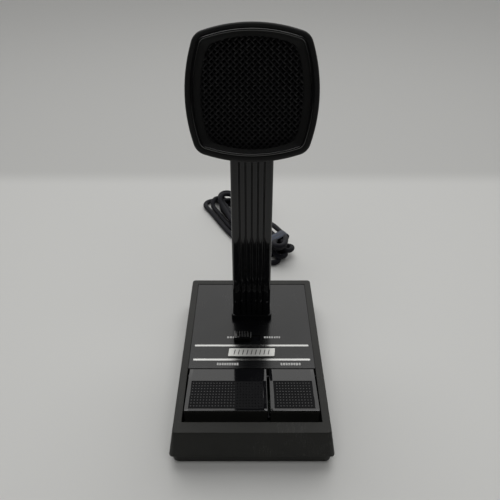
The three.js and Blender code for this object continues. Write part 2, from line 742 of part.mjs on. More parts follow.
for (const [side, sign] of SIDES) {
  const screw = add(`head_screw_${side}`, screwGeometry(2.8, 1.5, 1.3, 10.5), 'screw');
  screw.rotation.x = Math.PI / 2;
  screw.position.set(sign * STEM_SCREW_X, HEAD_BACK + 0.1, HEAD_SCREW_Z);
}

// ---------------------------------------------------------------- lead from capsule to board

const capsuleBack = new THREE.Vector3(0, 26.4, CAPSULE_Z).applyMatrix4(head.matrix);
const leadPoints = [
  capsuleBack,
  capsuleBack.clone().add(new THREE.Vector3(0, 2.4, -0.8)),
  new THREE.Vector3(0, STEM_MIDDLE - 0.6, 205.5),
  new THREE.Vector3(0, STEM_MIDDLE, 198),
  new THREE.Vector3(0, STEM_MIDDLE, 150),
  new THREE.Vector3(0, STEM_MIDDLE, 90),
  new THREE.Vector3(0, STEM_MIDDLE, 27),
  new THREE.Vector3(-0.6, STEM_MIDDLE - 1.2, 19),
  new THREE.Vector3(-7, STEM_MIDDLE - 7, 15.5),
  new THREE.Vector3(-20, STEM_MIDDLE - 16, 15),
  new THREE.Vector3(-24, 2, 15),
  new THREE.Vector3(-17, -14, 13.8),
  new THREE.Vector3(-5, -22, 13),
  new THREE.Vector3(-3, -26.6, 13),
];
add('head_lead', tubeAlong(leadPoints, 1.2, 44, 6), 'cord');

// ---------------------------------------------------------------- cord

const cordRadius = CORD_DIAMETER / 2;

function strainRelief() {
  const profile = [
    new THREE.Vector2(0, -8),
    new THREE.Vector2(4.8, -8),
    new THREE.Vector2(4.8, 0.4),
    new THREE.Vector2(6.6, 0.4),
    new THREE.Vector2(6.6, 3),
    new THREE.Vector2(5.2, 4.2),
    new THREE.Vector2(cordRadius + 0.7, GLAND_LENGTH),
    new THREE.Vector2(0, GLAND_LENGTH),
  ];
  return new THREE.LatheGeometry(profile, 24).translate(CORD_EXIT.x, CORD_EXIT.y, CORD_EXIT.z);
}

add('strain_relief', strainRelief(), 'rubber');

const cordInPoints = [
  new THREE.Vector3(0, CORD_EXIT.y - 8 - GAP, CORD_EXIT.z),
  new THREE.Vector3(0, CORD_EXIT.y - 14, CORD_EXIT.z),
  new THREE.Vector3(5, 62, 14.4),
  new THREE.Vector3(16, 58, 14),
  new THREE.Vector3(27, 46, 14),
  new THREE.Vector3(31, 20, 14.4),
  new THREE.Vector3(30, 0, 14.4),
  new THREE.Vector3(22, -14, 14.4),
  new THREE.Vector3(8.5, -21, 13.8),
  new THREE.Vector3(6.5, -26.4, 13),
];
add('cord_inside', tubeAlong(cordInPoints, 1.6, 28, 8), 'cord');

// Outline of the folded cord seen from above: round ends and a waist where the tie is.
function hankOutline(grow) {
  const half = HANK_LENGTH / 2 + grow;
  const wide = HANK_HALF_WIDTH + grow;
  const waist = WAIST_HALF_WIDTH + grow;
  const neck = TIE_WIDTH / 2 + 1;
  const slope = 8;
  const outline = new THREE.Shape();
  outline.absarc(half - wide, 0, wide, -Math.PI / 2, Math.PI / 2);
  outline.lineTo(TIE_AT + neck + slope, wide);
  outline.lineTo(TIE_AT + neck, waist);
  outline.lineTo(TIE_AT - neck, waist);
  outline.absarc(-half + wide - 4, 0, wide - 4, Math.PI / 2, 1.5 * Math.PI);
  outline.lineTo(TIE_AT - neck, -waist);
  outline.lineTo(TIE_AT + neck, -waist);
  outline.lineTo(TIE_AT + neck + slope, -wide);
  outline.closePath();
  return outline;
}

function placeHank(geometry) {
  const angle = Math.atan2(HANK_DIRECTION.y, HANK_DIRECTION.x);
  return geometry.rotateZ(angle).translate(HANK_MIDDLE.x, HANK_MIDDLE.y, 0);
}

add('cord_hank', placeHank(prism(hankOutline(0), [HANK_BOTTOM, HANK_BOTTOM + HANK_HEIGHT], 5)), 'cord');

function cordTie() {
  const half = WAIST_HALF_WIDTH + GAP + 0.9;
  const band = box(
    [TIE_AT - TIE_WIDTH / 2, TIE_AT + TIE_WIDTH / 2],
    [-half, half],
    [HANK_BOTTOM - GAP - 0.9, HANK_BOTTOM + HANK_HEIGHT + GAP + 0.9],
  );
  const inside = box(
    [TIE_AT - TIE_WIDTH, TIE_AT + TIE_WIDTH],
    [-WAIST_HALF_WIDTH - GAP, WAIST_HALF_WIDTH + GAP],
    [HANK_BOTTOM - GAP, HANK_BOTTOM + HANK_HEIGHT + GAP],
  );
  return placeHank(cut(band, inside));
}

add('cord_tie', cordTie(), 'tie');

const leadIn = new THREE.Vector3(-1, 160.5, 4.6);
const cordLeadPoints = [
  CORD_EXIT.clone().add(new THREE.Vector3(0, GLAND_LENGTH + GAP, 0)),
  CORD_EXIT.clone().add(new THREE.Vector3(0, GLAND_LENGTH + 4, 0)),
  new THREE.Vector3(0, 119, 13.2),
  new THREE.Vector3(0, 128, 8.4),
  new THREE.Vector3(0, 138, 4.2),
  new THREE.Vector3(-0.6, 148, 3.2),
  leadIn,
];
add('cord_lead', tubeAlong(cordLeadPoints, cordRadius, 16, 10), 'cord');

// ---------------------------------------------------------------- plug at the cord's end

const PLUG_START = new THREE.Vector3(13, 240, 9);
const PLUG_TURN = THREE.MathUtils.degToRad(4);

function plugPart(geometry) {
  return geometry.rotateZ(PLUG_TURN).translate(PLUG_START.x, PLUG_START.y, PLUG_START.z);
}

function turned(profile, sides = 32) {
  return new THREE.LatheGeometry(profile.map(([r, y]) => new THREE.Vector2(r, y)), sides);
}

add('plug_body', plugPart(turned([
  [0, 0],
  [4, 0],
  [4.6, 1],
  [4.6, 9],
  [7, 12],
  [7, 26],
  [6.4, 26.6],
  [6.4, 29.6],
  [0, 29.6],
])), 'silver');

add('plug_ring', plugPart(turned([
  [7.1, 27],
  [8.4, 27],
  [8.4, 37],
  [7.6, 38],
  [7.1, 38],
  [7.1, 27],
])), 'silver');

add('plug_insert', plugPart(turned([
  [0, 29.9],
  [6, 29.9],
  [6, 36.5],
  [0, 36.5],
])), 'mesh');

const tailPoints = [
  new THREE.Vector3(12.2, 221.6, 4.8),
  new THREE.Vector3(12.6, 227, 6.2),
  new THREE.Vector3(13, 235, 8.9),
  PLUG_START.clone().add(new THREE.Vector3(0, -GAP, 0)),
];
add('cord_tail', tubeAlong(tailPoints, cordRadius, 12, 10), 'cord');

export default group;
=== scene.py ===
"""Desk microphone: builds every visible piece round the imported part, then its floor, light and camera.

Lengths are worked out in millimetres and turned into metres when a piece is made. +Z is up and the front
faces -Y.
"""

import math

import bmesh
import bpy
from mathutils import Matrix, Vector, noise


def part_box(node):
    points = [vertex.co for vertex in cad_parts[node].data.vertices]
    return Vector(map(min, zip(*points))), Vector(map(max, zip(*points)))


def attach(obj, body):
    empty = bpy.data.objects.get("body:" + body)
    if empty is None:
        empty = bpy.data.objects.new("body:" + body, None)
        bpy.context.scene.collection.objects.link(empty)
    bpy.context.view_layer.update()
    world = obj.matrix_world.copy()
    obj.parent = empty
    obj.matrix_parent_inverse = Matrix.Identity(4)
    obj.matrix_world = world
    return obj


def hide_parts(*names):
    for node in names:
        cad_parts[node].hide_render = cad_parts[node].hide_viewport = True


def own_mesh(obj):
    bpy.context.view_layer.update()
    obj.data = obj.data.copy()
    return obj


bl_info = {
    "name": "Desk microphone",
    "version": (1, 0, 0),
    "blender": (4, 5, 0),
    "location": "3D View > Sidebar > Microphone",
    "description": "Builds a desk microphone piece by piece round its packed part",
    "category": "Object",
}

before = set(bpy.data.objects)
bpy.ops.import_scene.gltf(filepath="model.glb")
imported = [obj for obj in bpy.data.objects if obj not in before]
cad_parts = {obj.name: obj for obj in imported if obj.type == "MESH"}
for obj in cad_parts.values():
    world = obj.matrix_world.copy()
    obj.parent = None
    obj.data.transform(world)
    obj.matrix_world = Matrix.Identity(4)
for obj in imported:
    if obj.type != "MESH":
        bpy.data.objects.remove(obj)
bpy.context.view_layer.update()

MM = 0.001

# camera, in metres, with its angle below level in degrees
CAMERA_PLACE = (-0.0012, -0.302, 0.3161)
CAMERA_DOWN = 34.05
CAMERA_LENS = 40.03

# floor, light and surround, in metres
FLOOR_HALF = 4
BACKDROP_EDGE = (0.306, 0.35)
BACKDROP_TONE = 0.8
# painted shadow: the floor is painted darker towards the front, out of the camera's view, so the polished
# column mirrors shade there
PAINTED_SHADE_EDGE = (-0.1, -0.5)
PAINTED_SHADE_TONE = 0.55
LAMP_SIZE = (1.2, 0.8)
BRIGHT_WAY = Vector((0.02, 0.94, 0.34)).normalized()
BRIGHT_SPREAD = (0.25, 0.95)
SURROUND_LEVELS = (0.015, 1.2)

# base
BASE_TOP = 27.5
SKIRT_BOTTOM = 8.2
PANEL_TOP = 27.1
RECESS_HALF_WIDTH = 44.9
RECESS_BACK = 73.4
WELL_FRONT = -70.3
RIM_WITHIN = (47, 76)
SKIRT_WITHIN = (52.9, 81.9)
TRAY_WITHIN = (50.5, 79.5)
STRIPE_HALF_LENGTH = 42
STRIPE_HALF_WIDTH = 0.95
STRIPE_PLACES = (-0.7, -15.1)
BADGE_Y = -8.2
BADGE_CORNERS = ((-17.2, -4.1), (16.4, -4.1), (17.2, 4.1), (-16.4, 4.1))
BADGE_HEIGHT = 0.75
LOCK_Y = 7.5
MARK_PITCH = 1.75
MARK_GAP = 0.45
# each caption's start, end, place along Y and height
CAPTIONS = (
    (-18.5, -12.5, 8.1, 2.0),
    (9.3, 16.1, 8.1, 2.0),
    (16.8, 21.5, 8.1, 2.0),
    (-24.8, -9.5, -19.5, 2.4),
    (20.5, 34.8, -19.5, 2.4),
)

# press bars
BARS = {"transmit": (-43.7, 10.3), "monitor": (12.1, 43.7)}
BAR_BACK = -24.1
BAR_FRONT = -64.7
BAR_BACK_TOP = 27.1
BAR_FRONT_TOP = 31.3
FIELD_BACK = -36.4
FIELD_FRONT = -62.6
FIELD_SIDE = 2.5
FIELD_DEPTH = 0.22
ROW_STRETCH = 1.34
SPRING_Y = -52
SPRING_RADIUS = 2.8
SPRING_WIRE = 0.42
SPRING_TURNS = 6

# column
COLUMN_HALF_WIDTH = 14.25
COLUMN_FRONT = 29
COLUMN_BACK = 42
COLUMN_CORNER = 1.8
COLUMN_WALL = 2.95
COLUMN_BOTTOM = 26.6
COLUMN_TOP = 200
COLUMN_MIDDLE = (0, (COLUMN_FRONT + COLUMN_BACK) / 2)
COLUMN_HALF_DEPTH = (COLUMN_BACK - COLUMN_FRONT) / 2
GROOVES = 5
GROOVE_SPACING = 4.2
GROOVE_DEPTH = 0.9

# head, in a frame whose face looks along -Y
HEAD_TILT = 18
HEAD_CENTRE = Vector((0, 3.5, 214.5))
HEAD = Matrix.Translation(HEAD_CENTRE) @ Matrix.Rotation(math.radians(-HEAD_TILT), 4, "X")
FACE_HALF = 38
SIDE_RADIUS = 90
FACE_CORNER = 9
OPENING_HALF = (29.25, 31)
HEAD_BACK = 46
REAR_INSET = 1.6
REAR_ROUND = 9
REAR_WALL = 2.4
REAR_FRONT = 8.3
BOSS_AT = 25.5
RIDGE_AT = 4.2
RIDGE_RADIUS = 0.8

# grille, bezel screws, and the rear shell's screw bosses, in the head's frame
GRILLE_EDGE_DEPTH = 6.0
GRILLE_DOME = 1.2
GRILLE_DOME_REACH = 42
BEZEL_SCREW_DEPTH = 25.3
BOSS_RADIUS = 5
BOSS_FRONT = 21
POCKET_RADIUS = 3.6
POCKET_FRONT = 25

# patterns of the finishes
MOTTLE_SCALE = 45
SCRATCH_SCALE = 60
SCRATCH_WIDTH = 0.004
SCRATCHED_PATCH_SCALE = 28
SCRATCHED_PATCH_FROM = 0.56
WORN_PATCH_SCALE = 140
WORN_EDGE = (0.52, 0.62)

# cord
CORD_EXIT = Vector((0, 82, 15))
HANK_MIDDLE = Vector((-7.5, 208, 0))
HANK_ALONG = Vector((-0.53, 0.848, 0))
HANK_ACROSS = Vector((0.848, 0.53, 0))
TIE_AT = -57
TIE_HALF_WIDTH = 5
PLUG_START = Vector((13, 240, 9))
PLUG = Matrix.Translation(PLUG_START) @ Matrix.Rotation(math.radians(4), 4, "Z")


# ---------------------------------------------------------------- what a user can change


def length_property(name, description, default, least):
    return bpy.props.FloatProperty(
        name=name, description=description, default=default, min=least, subtype="DISTANCE", unit="LENGTH"
    )


def colour_property(name, description, default):
    return bpy.props.FloatVectorProperty(
        name=name, description=description, default=default, size=3, min=0, max=1, subtype="COLOR"
    )


class MicrophoneSizes(bpy.types.PropertyGroup):
    """Sizes of the fine surface detail."""

    wire_pitch: length_property("Wire pitch", "Distance between the grille's wires", 0.002475, 0.001)
    wire_width: length_property("Wire width", "Diameter of the grille's wires", 0.00105, 0.0003)
    dot_pitch: length_property("Dot pitch", "Distance between raised dots across a bar", 0.002, 0.001)
    dot_width: length_property("Dot width", "Diameter of one raised dot at its foot", 0.00112, 0.0003)
    cord_width: length_property("Cord diameter", "Diameter of the cord's sheath", 0.005, 0.002)


class MicrophoneColours(bpy.types.PropertyGroup):
    """Base colours of the finishes."""

    shell: colour_property("Shell", "Base shell and tray", (0.02, 0.02, 0.018))
    panel: colour_property("Panel", "Label plate on top of the base", (0.004, 0.0042, 0.0048))
    bar: colour_property("Bars", "Press bars", (0.005, 0.0051, 0.006))
    column: colour_property("Column", "Polished column", (0.0025, 0.0026, 0.003))
    head: colour_property("Head", "Bezel and rear shell", (0.001, 0.001, 0.0013))
    wire: colour_property("Grille", "Painted wire of the grille", (0.004, 0.004, 0.0045))
    trim: colour_property("Trim", "Silver stripes and badge", (0.62, 0.62, 0.6))
    cord: colour_property("Cord", "Sheath of the cord", (0.0015, 0.0015, 0.0018))
    tie: colour_property("Tie", "Woven tape round the cord", (0.009, 0.026, 0.068))
    floor: colour_property("Floor", "Pale floor", (0.62, 0.62, 0.605))


# ---------------------------------------------------------------- mesh making


def loft(rings, first_cap=True, last_cap=True, closed=False, bm=None):
    """Skins rings of equally many points: each edge loop is extruded into the next ring's place."""
    bm = bm or bmesh.new()
    count = len(rings[0])
    start = bmesh.ops.create_circle(bm, segments=count, radius=1)["verts"]
    order = {vert: i for i, vert in enumerate(start)}
    for vert, i in order.items():
        vert.co = rings[0][i]
    edges = list({edge for vert in start for edge in vert.link_edges})
    if first_cap and not closed:
        bm.faces.new(list(reversed(start)))
    for ring in list(rings[1:]) + (list(rings[:1]) if closed else []):
        made = bmesh.ops.extrude_edge_only(bm, edges=edges)["geom"]
        fresh = {item for item in made if isinstance(item, bmesh.types.BMVert)}
        placed = {}
        for vert in fresh:
            old = next(e.other_vert(vert) for e in vert.link_edges if e.other_vert(vert) in order)
            placed[vert] = order[old]
        for vert, i in placed.items():
            vert.co = ring[i]
        order = placed
        edges = [
            item for item in made
            if isinstance(item, bmesh.types.BMEdge) and item.verts[0] in fresh and item.verts[1] in fresh
        ]
    if last_cap and not closed:
        bm.faces.new(sorted(order, key=order.get))
    bmesh.ops.remove_doubles(bm, verts=bm.verts, dist=0.002)
    bmesh.ops.recalc_face_normals(bm, faces=bm.faces)
    return bm


def store_mesh(name, bm):
    """Moves a bmesh into a mesh of its own."""
    mesh = bpy.data.meshes.new(name)
    bm.to_mesh(mesh)
    bm.free()
    return mesh


def add_object(name, data):
    made = bpy.data.objects.new(name, data)
    bpy.context.scene.collection.objects.link(made)
    return made


def join(*parts):
    """One mesh out of several closed ones."""
    whole = bmesh.new()
    for part in parts:
        mesh = store_mesh("part", part)
        whole.from_mesh(mesh)
        bpy.data.meshes.remove(mesh)
    return whole


def place(bm, matrix):
    bmesh.ops.transform(bm, matrix=matrix, verts=bm.verts)
    return bm


def carve(bm, tool, operation="DIFFERENCE"):
    """Cuts tool out of bm, or joins it on."""
    base, cutter = [add_object("scratch", store_mesh("scratch", each)) for each in (bm, tool)]
    cut = base.modifiers.new("cut", "BOOLEAN")
    cut.operation, cut.object, cut.solver = operation, cutter, "EXACT"
    made = bmesh.new()
    made.from_object(base, bpy.context.evaluated_depsgraph_get())
    for used in (base, cutter):
        mesh = used.data
        bpy.data.objects.remove(used)
        bpy.data.meshes.remove(mesh)
    return made


def cad_copy(node):
    """A merged copy of a CAD node in millimetres, with its flat faces made whole again."""
    bm = bmesh.new()
    bm.from_mesh(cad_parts[node].data)
    bmesh.ops.scale(bm, vec=(1 / MM,) * 3, verts=bm.verts)
    bmesh.ops.remove_doubles(bm, verts=bm.verts, dist=0.003)
    bmesh.ops.dissolve_limit(bm, angle_limit=math.radians(0.6), verts=bm.verts, edges=bm.edges)
    return bm


def round_edges(bm, chosen, radius, segments=3):
    """Bevels the edges that chosen picks by their two end points."""
    edges = [e for e in bm.edges if len(e.link_faces) == 2 and chosen(e.verts[0].co, e.verts[1].co)]
    edges = [e for e in edges if e.calc_face_angle() > math.radians(20)]
    bmesh.ops.bevel(
        bm,
        geom=edges,
        offset=radius,
        offset_type="OFFSET",
        affect="EDGES",
        segments=segments,
        profile=0.5,
        material=-1,
        clamp_overlap=False,
    )
    return bm


def make_piece(name, bm, finishes, body="base", stands_for=(), sharp=32, flat=None):
    """Turns a mesh in millimetres into a finished piece that rides on a body.

    Faces larger than flat, in square millimetres, are shaded flat.
    """
    bmesh.ops.scale(bm, vec=(MM,) * 3, verts=bm.verts)
    mesh = store_mesh(name, bm)
    for finish in finishes if isinstance(finishes, (list, tuple)) else [finishes]:
        mesh.materials.append(finish)
    mesh.shade_smooth()
    mesh.set_sharp_from_angle(angle=math.radians(sharp))
    if flat:
        for face in mesh.polygons:
            face.use_smooth = face.area < flat * MM * MM
    piece = add_object(name, mesh)
    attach(piece, body)
    if stands_for:
        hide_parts(*stands_for)
    return piece


def make_line(name, runs, radius, finish, resolution=1, kind="POLY", steps=1):
    """A round wire or cord along each run of points, in millimetres, as a curve object."""
    curve = bpy.data.curves.new(name, "CURVE")
    curve.dimensions = "3D"
    curve.bevel_depth = radius * MM
    curve.bevel_resolution = resolution
    curve.resolution_u = steps
    curve.use_fill_caps = True
    for points in runs:
        spline = curve.splines.new(kind)
        spline.points.add(len(points) - 1)
        for slot, point in zip(spline.points, points):
            slot.co = (*(point * MM), 1)
        if kind == "NURBS":
            spline.order_u = 4
            spline.use_endpoint_u = True
    curve.materials.append(finish)
    return add_object(name, curve)


def line_to_mesh(line, body, stands_for=()):
    """The same wire as a mesh piece under the same name."""
    name, finish = line.name, line.data.materials[0]
    mesh = bpy.data.meshes.new_from_object(line.evaluated_get(bpy.context.evaluated_depsgraph_get()))
    curve = line.data
    bpy.data.objects.remove(line)
    bpy.data.curves.remove(curve)
    bm = bmesh.new()
    bm.from_mesh(mesh)
    bpy.data.meshes.remove(mesh)
    bmesh.ops.scale(bm, vec=(1 / MM,) * 3, verts=bm.verts)
    bmesh.ops.remove_doubles(bm, verts=bm.verts, dist=0.001)
    bmesh.ops.recalc_face_normals(bm, faces=bm.faces)
    return make_piece(name, bm, finish, body, stands_for, sharp=60)


def rounded_rectangle(half_x, half_y, radius, z, centre=(0, 0), steps=6):
    points = []
    for quarter, (side_x, side_y) in enumerate(((1, 1), (-1, 1), (-1, -1), (1, -1))):
        for i in range(steps + 1):
            angle = (quarter + i / steps) * math.pi / 2
            x = centre[0] + side_x * (half_x - radius) + radius * math.cos(angle)
            y = centre[1] + side_y * (half_y - radius) + radius * math.sin(angle)
            points.append(Vector((x, y, z)))
    return points


def block(range_x, range_y, range_z, edge=0.2, corner=0.4, steps=3):
    """An upright block with rounded corners and a rounded upper edge."""
    half_x, half_y = (range_x[1] - range_x[0]) / 2, (range_y[1] - range_y[0]) / 2
    centre = ((range_x[0] + range_x[1]) / 2, (range_y[0] + range_y[1]) / 2)
    rings = [rounded_rectangle(half_x, half_y, corner, range_z[0], centre, steps)]
    for i in range(4):
        turn = math.radians(30 * i)
        inset = edge * (1 - math.cos(turn))
        z = range_z[1] - edge + edge * math.sin(turn)
        rings.append(rounded_rectangle(half_x - inset, half_y - inset, corner - inset / 2, z, centre, steps))
    return loft(rings)


def circle(radius, height, count=40, reach=None):
    """A ring in XY at a height. reach changes the radius with the angle."""
    points = []
    for i in range(count):
        angle = 2 * math.pi * i / count
        r = radius * (reach(angle) if reach else 1)
        points.append(Vector((r * math.cos(angle), r * math.sin(angle), height)))
    return points


def turned(profile, count=40):
    """Spins a profile of radius and height round Z."""
    bm = bmesh.new()
    verts = [bm.verts.new((radius, 0, height)) for radius, height in profile]
    edges = [bm.edges.new(pair) for pair in zip(verts, verts[1:])]
    bmesh.ops.spin(
        bm,
        geom=verts + edges,
        cent=(0, 0, 0),
        axis=(0, 0, 1),
        angle=2 * math.pi,
        steps=count,
        use_merge=True,
    )
    bmesh.ops.remove_doubles(bm, verts=bm.verts, dist=0.002)
    bmesh.ops.recalc_face_normals(bm, faces=bm.faces)
    return bm


# ---------------------------------------------------------------- finishes


def value_group(name, inputs, outputs, build):
    """A shader node group with number inputs and outputs, made once."""
    group = bpy.data.node_groups.get(name)
    if group:
        return group
    group = bpy.data.node_groups.new(name, "ShaderNodeTree")
    for label, default in inputs:
        socket = group.interface.new_socket(label, in_out="INPUT", socket_type="NodeSocketFloat")
        socket.default_value = default
    for label in outputs:
        group.interface.new_socket(label, in_out="OUTPUT", socket_type="NodeSocketFloat")
    build(group, group.nodes.new("NodeGroupInput"), group.nodes.new("NodeGroupOutput"))
    return group


def feed(tree, socket, term):
    """Gives a socket its term: another socket, a number or a colour."""
    if isinstance(term, bpy.types.NodeSocket):
        tree.links.new(term, socket)
    else:
        socket.default_value = term


def calculate(tree, operation, first, second=0):
    node = tree.nodes.new("ShaderNodeMath")
    node.operation = operation
    feed(tree, node.inputs[0], first)
    feed(tree, node.inputs[1], second)
    return node.outputs[0]


def noise_pattern(tree, vector, scale, detail=2):
    texture = tree.nodes.new("ShaderNodeTexNoise")
    texture.inputs["Detail"].default_value = detail
    tree.links.new(vector, texture.inputs["Vector"])
    feed(tree, texture.inputs["Scale"], scale)
    return texture.outputs["Fac"]


def ramp(tree, value, start, end, low=0, high=1, curve="SMOOTHSTEP"):
    """Carries a value from the range start to end into the range low to high."""
    node = tree.nodes.new("ShaderNodeMapRange")
    node.interpolation_type = curve
    for label, number in (("From Min", start), ("From Max", end), ("To Min", low), ("To Max", high)):
        node.inputs[label].default_value = number
    tree.links.new(value, node.inputs["Value"])
    return node.outputs["Result"]


def build_grain(tree, given, result):
    """Fine moulded texture and slow mottling."""
    where = tree.nodes.new("ShaderNodeTexCoord").outputs["Object"]
    tree.links.new(noise_pattern(tree, where, given.outputs["Scale"], 3), result.inputs["Height"])
    tree.links.new(noise_pattern(tree, where, MOTTLE_SCALE, 4), result.inputs["Mottle"])


def build_scratches(tree, given, result):
    """Sparse fine lines in two directions."""
    where = tree.nodes.new("ShaderNodeTexCoord").outputs["Object"]
    masks = []
    for turn, stretch in ((0.5, 14), (-0.9, 20)):
        mapping = tree.nodes.new("ShaderNodeMapping")
        mapping.inputs["Rotation"].default_value = (0.3, turn, turn)
        mapping.inputs["Scale"].default_value = (stretch, 1, 1)
        tree.links.new(where, mapping.inputs["Vector"])
        lines = noise_pattern(tree, mapping.outputs["Vector"], given.outputs["Scale"])
        far = calculate(tree, "ABSOLUTE", calculate(tree, "SUBTRACT", lines, 0.5))
        masks.append(calculate(tree, "LESS_THAN", far, SCRATCH_WIDTH))
    patches = noise_pattern(tree, where, SCRATCHED_PATCH_SCALE)
    patch = calculate(tree, "GREATER_THAN", patches, SCRATCHED_PATCH_FROM)
    either = calculate(tree, "MAXIMUM", *masks)
    tree.links.new(calculate(tree, "MULTIPLY", either, patch), result.inputs["Mask"])


def build_edge_wear(tree, given, result):
    """Patchy rubbing on outer edges."""
    where = tree.nodes.new("ShaderNodeTexCoord").outputs["Object"]
    shape = tree.nodes.new("ShaderNodeNewGeometry")
    edge = ramp(tree, shape.outputs["Pointiness"], *WORN_EDGE, curve="LINEAR")
    broken = calculate(tree, "MULTIPLY", edge, noise_pattern(tree, where, WORN_PATCH_SCALE, 5))
    tree.links.new(calculate(tree, "MULTIPLY", broken, given.outputs["Amount"]), result.inputs["Mask"])


def group_node(tree, name, inputs, outputs, build, **values):
    node = tree.nodes.new("ShaderNodeGroup")
    node.node_tree = value_group(name, inputs, outputs, build)
    for label, value in values.items():
        node.inputs[label].default_value = value
    return node


def blend_colour(tree, mask, first, second):
    mix = tree.nodes.new("ShaderNodeMix")
    mix.data_type = "RGBA"
    tree.links.new(mask, mix.inputs["Factor"])
    for label, term in (("A", first), ("B", second)):
        feed(tree, mix.inputs[label], term if isinstance(term, bpy.types.NodeSocket) else (*term, 1))
    return mix.outputs["Result"]


def finish(
    name,
    colour,
    roughness,
    grain=900,
    height=0.02,
    metallic=0.0,
    mottle=0.25,
    scratch=0.0,
    wear=0.0,
    coat=0.0,
    uneven=0.08,
    specular=0.5,
):
    """A moulded, painted or metal finish: mottling, uneven gloss, fine grain, scratches and rubbed edges."""
    material = bpy.data.materials.get(name)
    if material:
        return material
    material = bpy.data.materials.new(name)
    material.use_nodes = True
    tree = material.node_tree
    shader = tree.nodes["Principled BSDF"]
    shader.inputs["Metallic"].default_value = metallic
    shader.inputs["Specular IOR Level"].default_value = specular
    shader.inputs["Coat Weight"].default_value = coat
    shader.inputs["Coat Roughness"].default_value = 0.06
    colour = tuple(colour)
    outputs = ["Height", "Mottle"]
    grained = group_node(tree, "surface_grain", [("Scale", 900)], outputs, build_grain, Scale=grain)
    lighter = tuple(min(1, c * (1 + mottle) + 0.0003) for c in colour)
    darker = tuple(c * (1 - mottle) for c in colour)
    tone = blend_colour(tree, grained.outputs["Mottle"], darker, lighter)
    centred = calculate(tree, "SUBTRACT", grained.outputs["Mottle"], 0.5)
    shift = calculate(tree, "MULTIPLY", centred, uneven)
    gloss = calculate(tree, "ADD", shift, roughness)
    if scratch:
        inputs = [("Scale", SCRATCH_SCALE)]
        marks = group_node(tree, "fine_scratches", inputs, ["Mask"], build_scratches, Scale=SCRATCH_SCALE)
        mask = calculate(tree, "MULTIPLY", marks.outputs["Mask"], scratch)
        tone = blend_colour(tree, mask, tone, tuple(min(1, c * 3 + 0.03) for c in colour))
        gloss = calculate(tree, "ADD", gloss, calculate(tree, "MULTIPLY", mask, 0.3))
    if wear:
        rubbed = group_node(tree, "edge_wear", [("Amount", 1)], ["Mask"], build_edge_wear, Amount=wear)
        worn = tuple(min(1, c * 2.5 + 0.02) for c in colour)
        tone = blend_colour(tree, rubbed.outputs["Mask"], tone, worn)
    tree.links.new(tone, shader.inputs["Base Color"])
    tree.links.new(gloss, shader.inputs["Roughness"])
    bump = tree.nodes.new("ShaderNodeBump")
    bump.inputs["Strength"].default_value = 0.35
    bump.inputs["Distance"].default_value = height * MM
    tree.links.new(grained.outputs["Height"], bump.inputs["Height"])
    tree.links.new(bump.outputs["Normal"], shader.inputs["Normal"])
    return material


def weave(material, pitch, turn, height=0.25):
    """Adds crossed threads to a finish: two sets of fine ridges that feed its bump and darken its gaps."""
    tree = material.node_tree
    if tree.nodes.get("threads"):
        return material
    place_at = tree.nodes.new("ShaderNodeTexCoord")
    mapping = tree.nodes.new("ShaderNodeMapping")
    mapping.name = "threads"
    mapping.inputs["Rotation"].default_value = (0, 0, turn)
    tree.links.new(place_at.outputs["Object"], mapping.inputs["Vector"])
    sets = []
    for direction in ("X", "Z"):
        ridge = tree.nodes.new("ShaderNodeTexWave")
        ridge.bands_direction = direction
        ridge.inputs["Scale"].default_value = 1 / (pitch * MM) / 20
        ridge.inputs["Distortion"].default_value = 0.4
        tree.links.new(mapping.outputs["Vector"], ridge.inputs["Vector"])
        sets.append(ridge.outputs["Fac"])
    cloth = calculate(tree, "MULTIPLY", sets[0], sets[1])
    shader = tree.nodes["Principled BSDF"]
    bump = shader.inputs["Normal"].links[0].from_node
    bump.inputs["Distance"].default_value = height * MM
    bump.inputs["Strength"].default_value = 0.8
    tree.links.new(cloth, bump.inputs["Height"])
    tone = shader.inputs["Base Color"].links[0].from_socket
    tree.links.new(blend_colour(tree, cloth, (0.01, 0.015, 0.03), tone), shader.inputs["Base Color"])
    return material


def chosen(name):
    """A colour that the user can change."""
    return getattr(bpy.context.scene.microphone_colours, name)


def shell_plastic():
    return finish(
        "shell_plastic", chosen("shell"), 0.5,
        grain=1500, height=0.04, scratch=0.7, wear=0.6, specular=0.2,
    )


def panel_plate():
    return finish(
        "panel_plate", chosen("panel"), 0.2,
        grain=2500, height=0.002, scratch=0.25, uneven=0.06, specular=0.42,
    )


def bar_plastic():
    return finish(
        "bar_plastic", chosen("bar"), 0.06,
        grain=2500, height=0.001, scratch=0.3, wear=0.5, uneven=0.05, specular=0.65,
    )


def bar_field_plastic():
    return finish("bar_field_plastic", chosen("bar"), 0.6, grain=1800, height=0.04, specular=0.08)


def bar_front_plastic():
    return finish("bar_front_plastic", chosen("shell"), 0.45, grain=1800, height=0.02, specular=0.5)


def column_plastic():
    return finish(
        "column_plastic", chosen("column"), 0.05,
        grain=1200, height=0.001, scratch=0.2, wear=0.4, uneven=0.03,
    )


def head_plastic():
    return finish(
        "head_plastic", chosen("head"), 0.13,
        grain=2200, height=0.003, scratch=0.2, wear=0.5, uneven=0.05,
    )


def polished_ridge():
    return finish(
        "polished_ridge", chosen("head"), 0.08,
        grain=2200, height=0.001, coat=1, uneven=0.03, specular=1,
    )


def silver_trim():
    return finish(
        "silver_trim", chosen("trim"), 0.07,
        grain=3000, height=0.001, metallic=1, mottle=0.08, scratch=0.2, uneven=0.04,
    )


def stripe_foil():
    shine = {"metallic": 1, "mottle": 0.06, "uneven": 0.02}
    return finish("stripe_foil", (0.46, 0.46, 0.45), 0.2, grain=3000, height=0.0005, **shine)


def badge_enamel():
    return finish("badge_enamel", (0.03, 0.03, 0.032), 0.35, grain=2500, height=0.02)


def caption_paint():
    return finish("caption_paint", (0.55, 0.55, 0.54), 0.5, grain=3000, height=0.02, mottle=0.12)


def grille_wire():
    return finish("grille_wire", chosen("wire"), 0.32, grain=2600, height=0.02, wear=0.4)


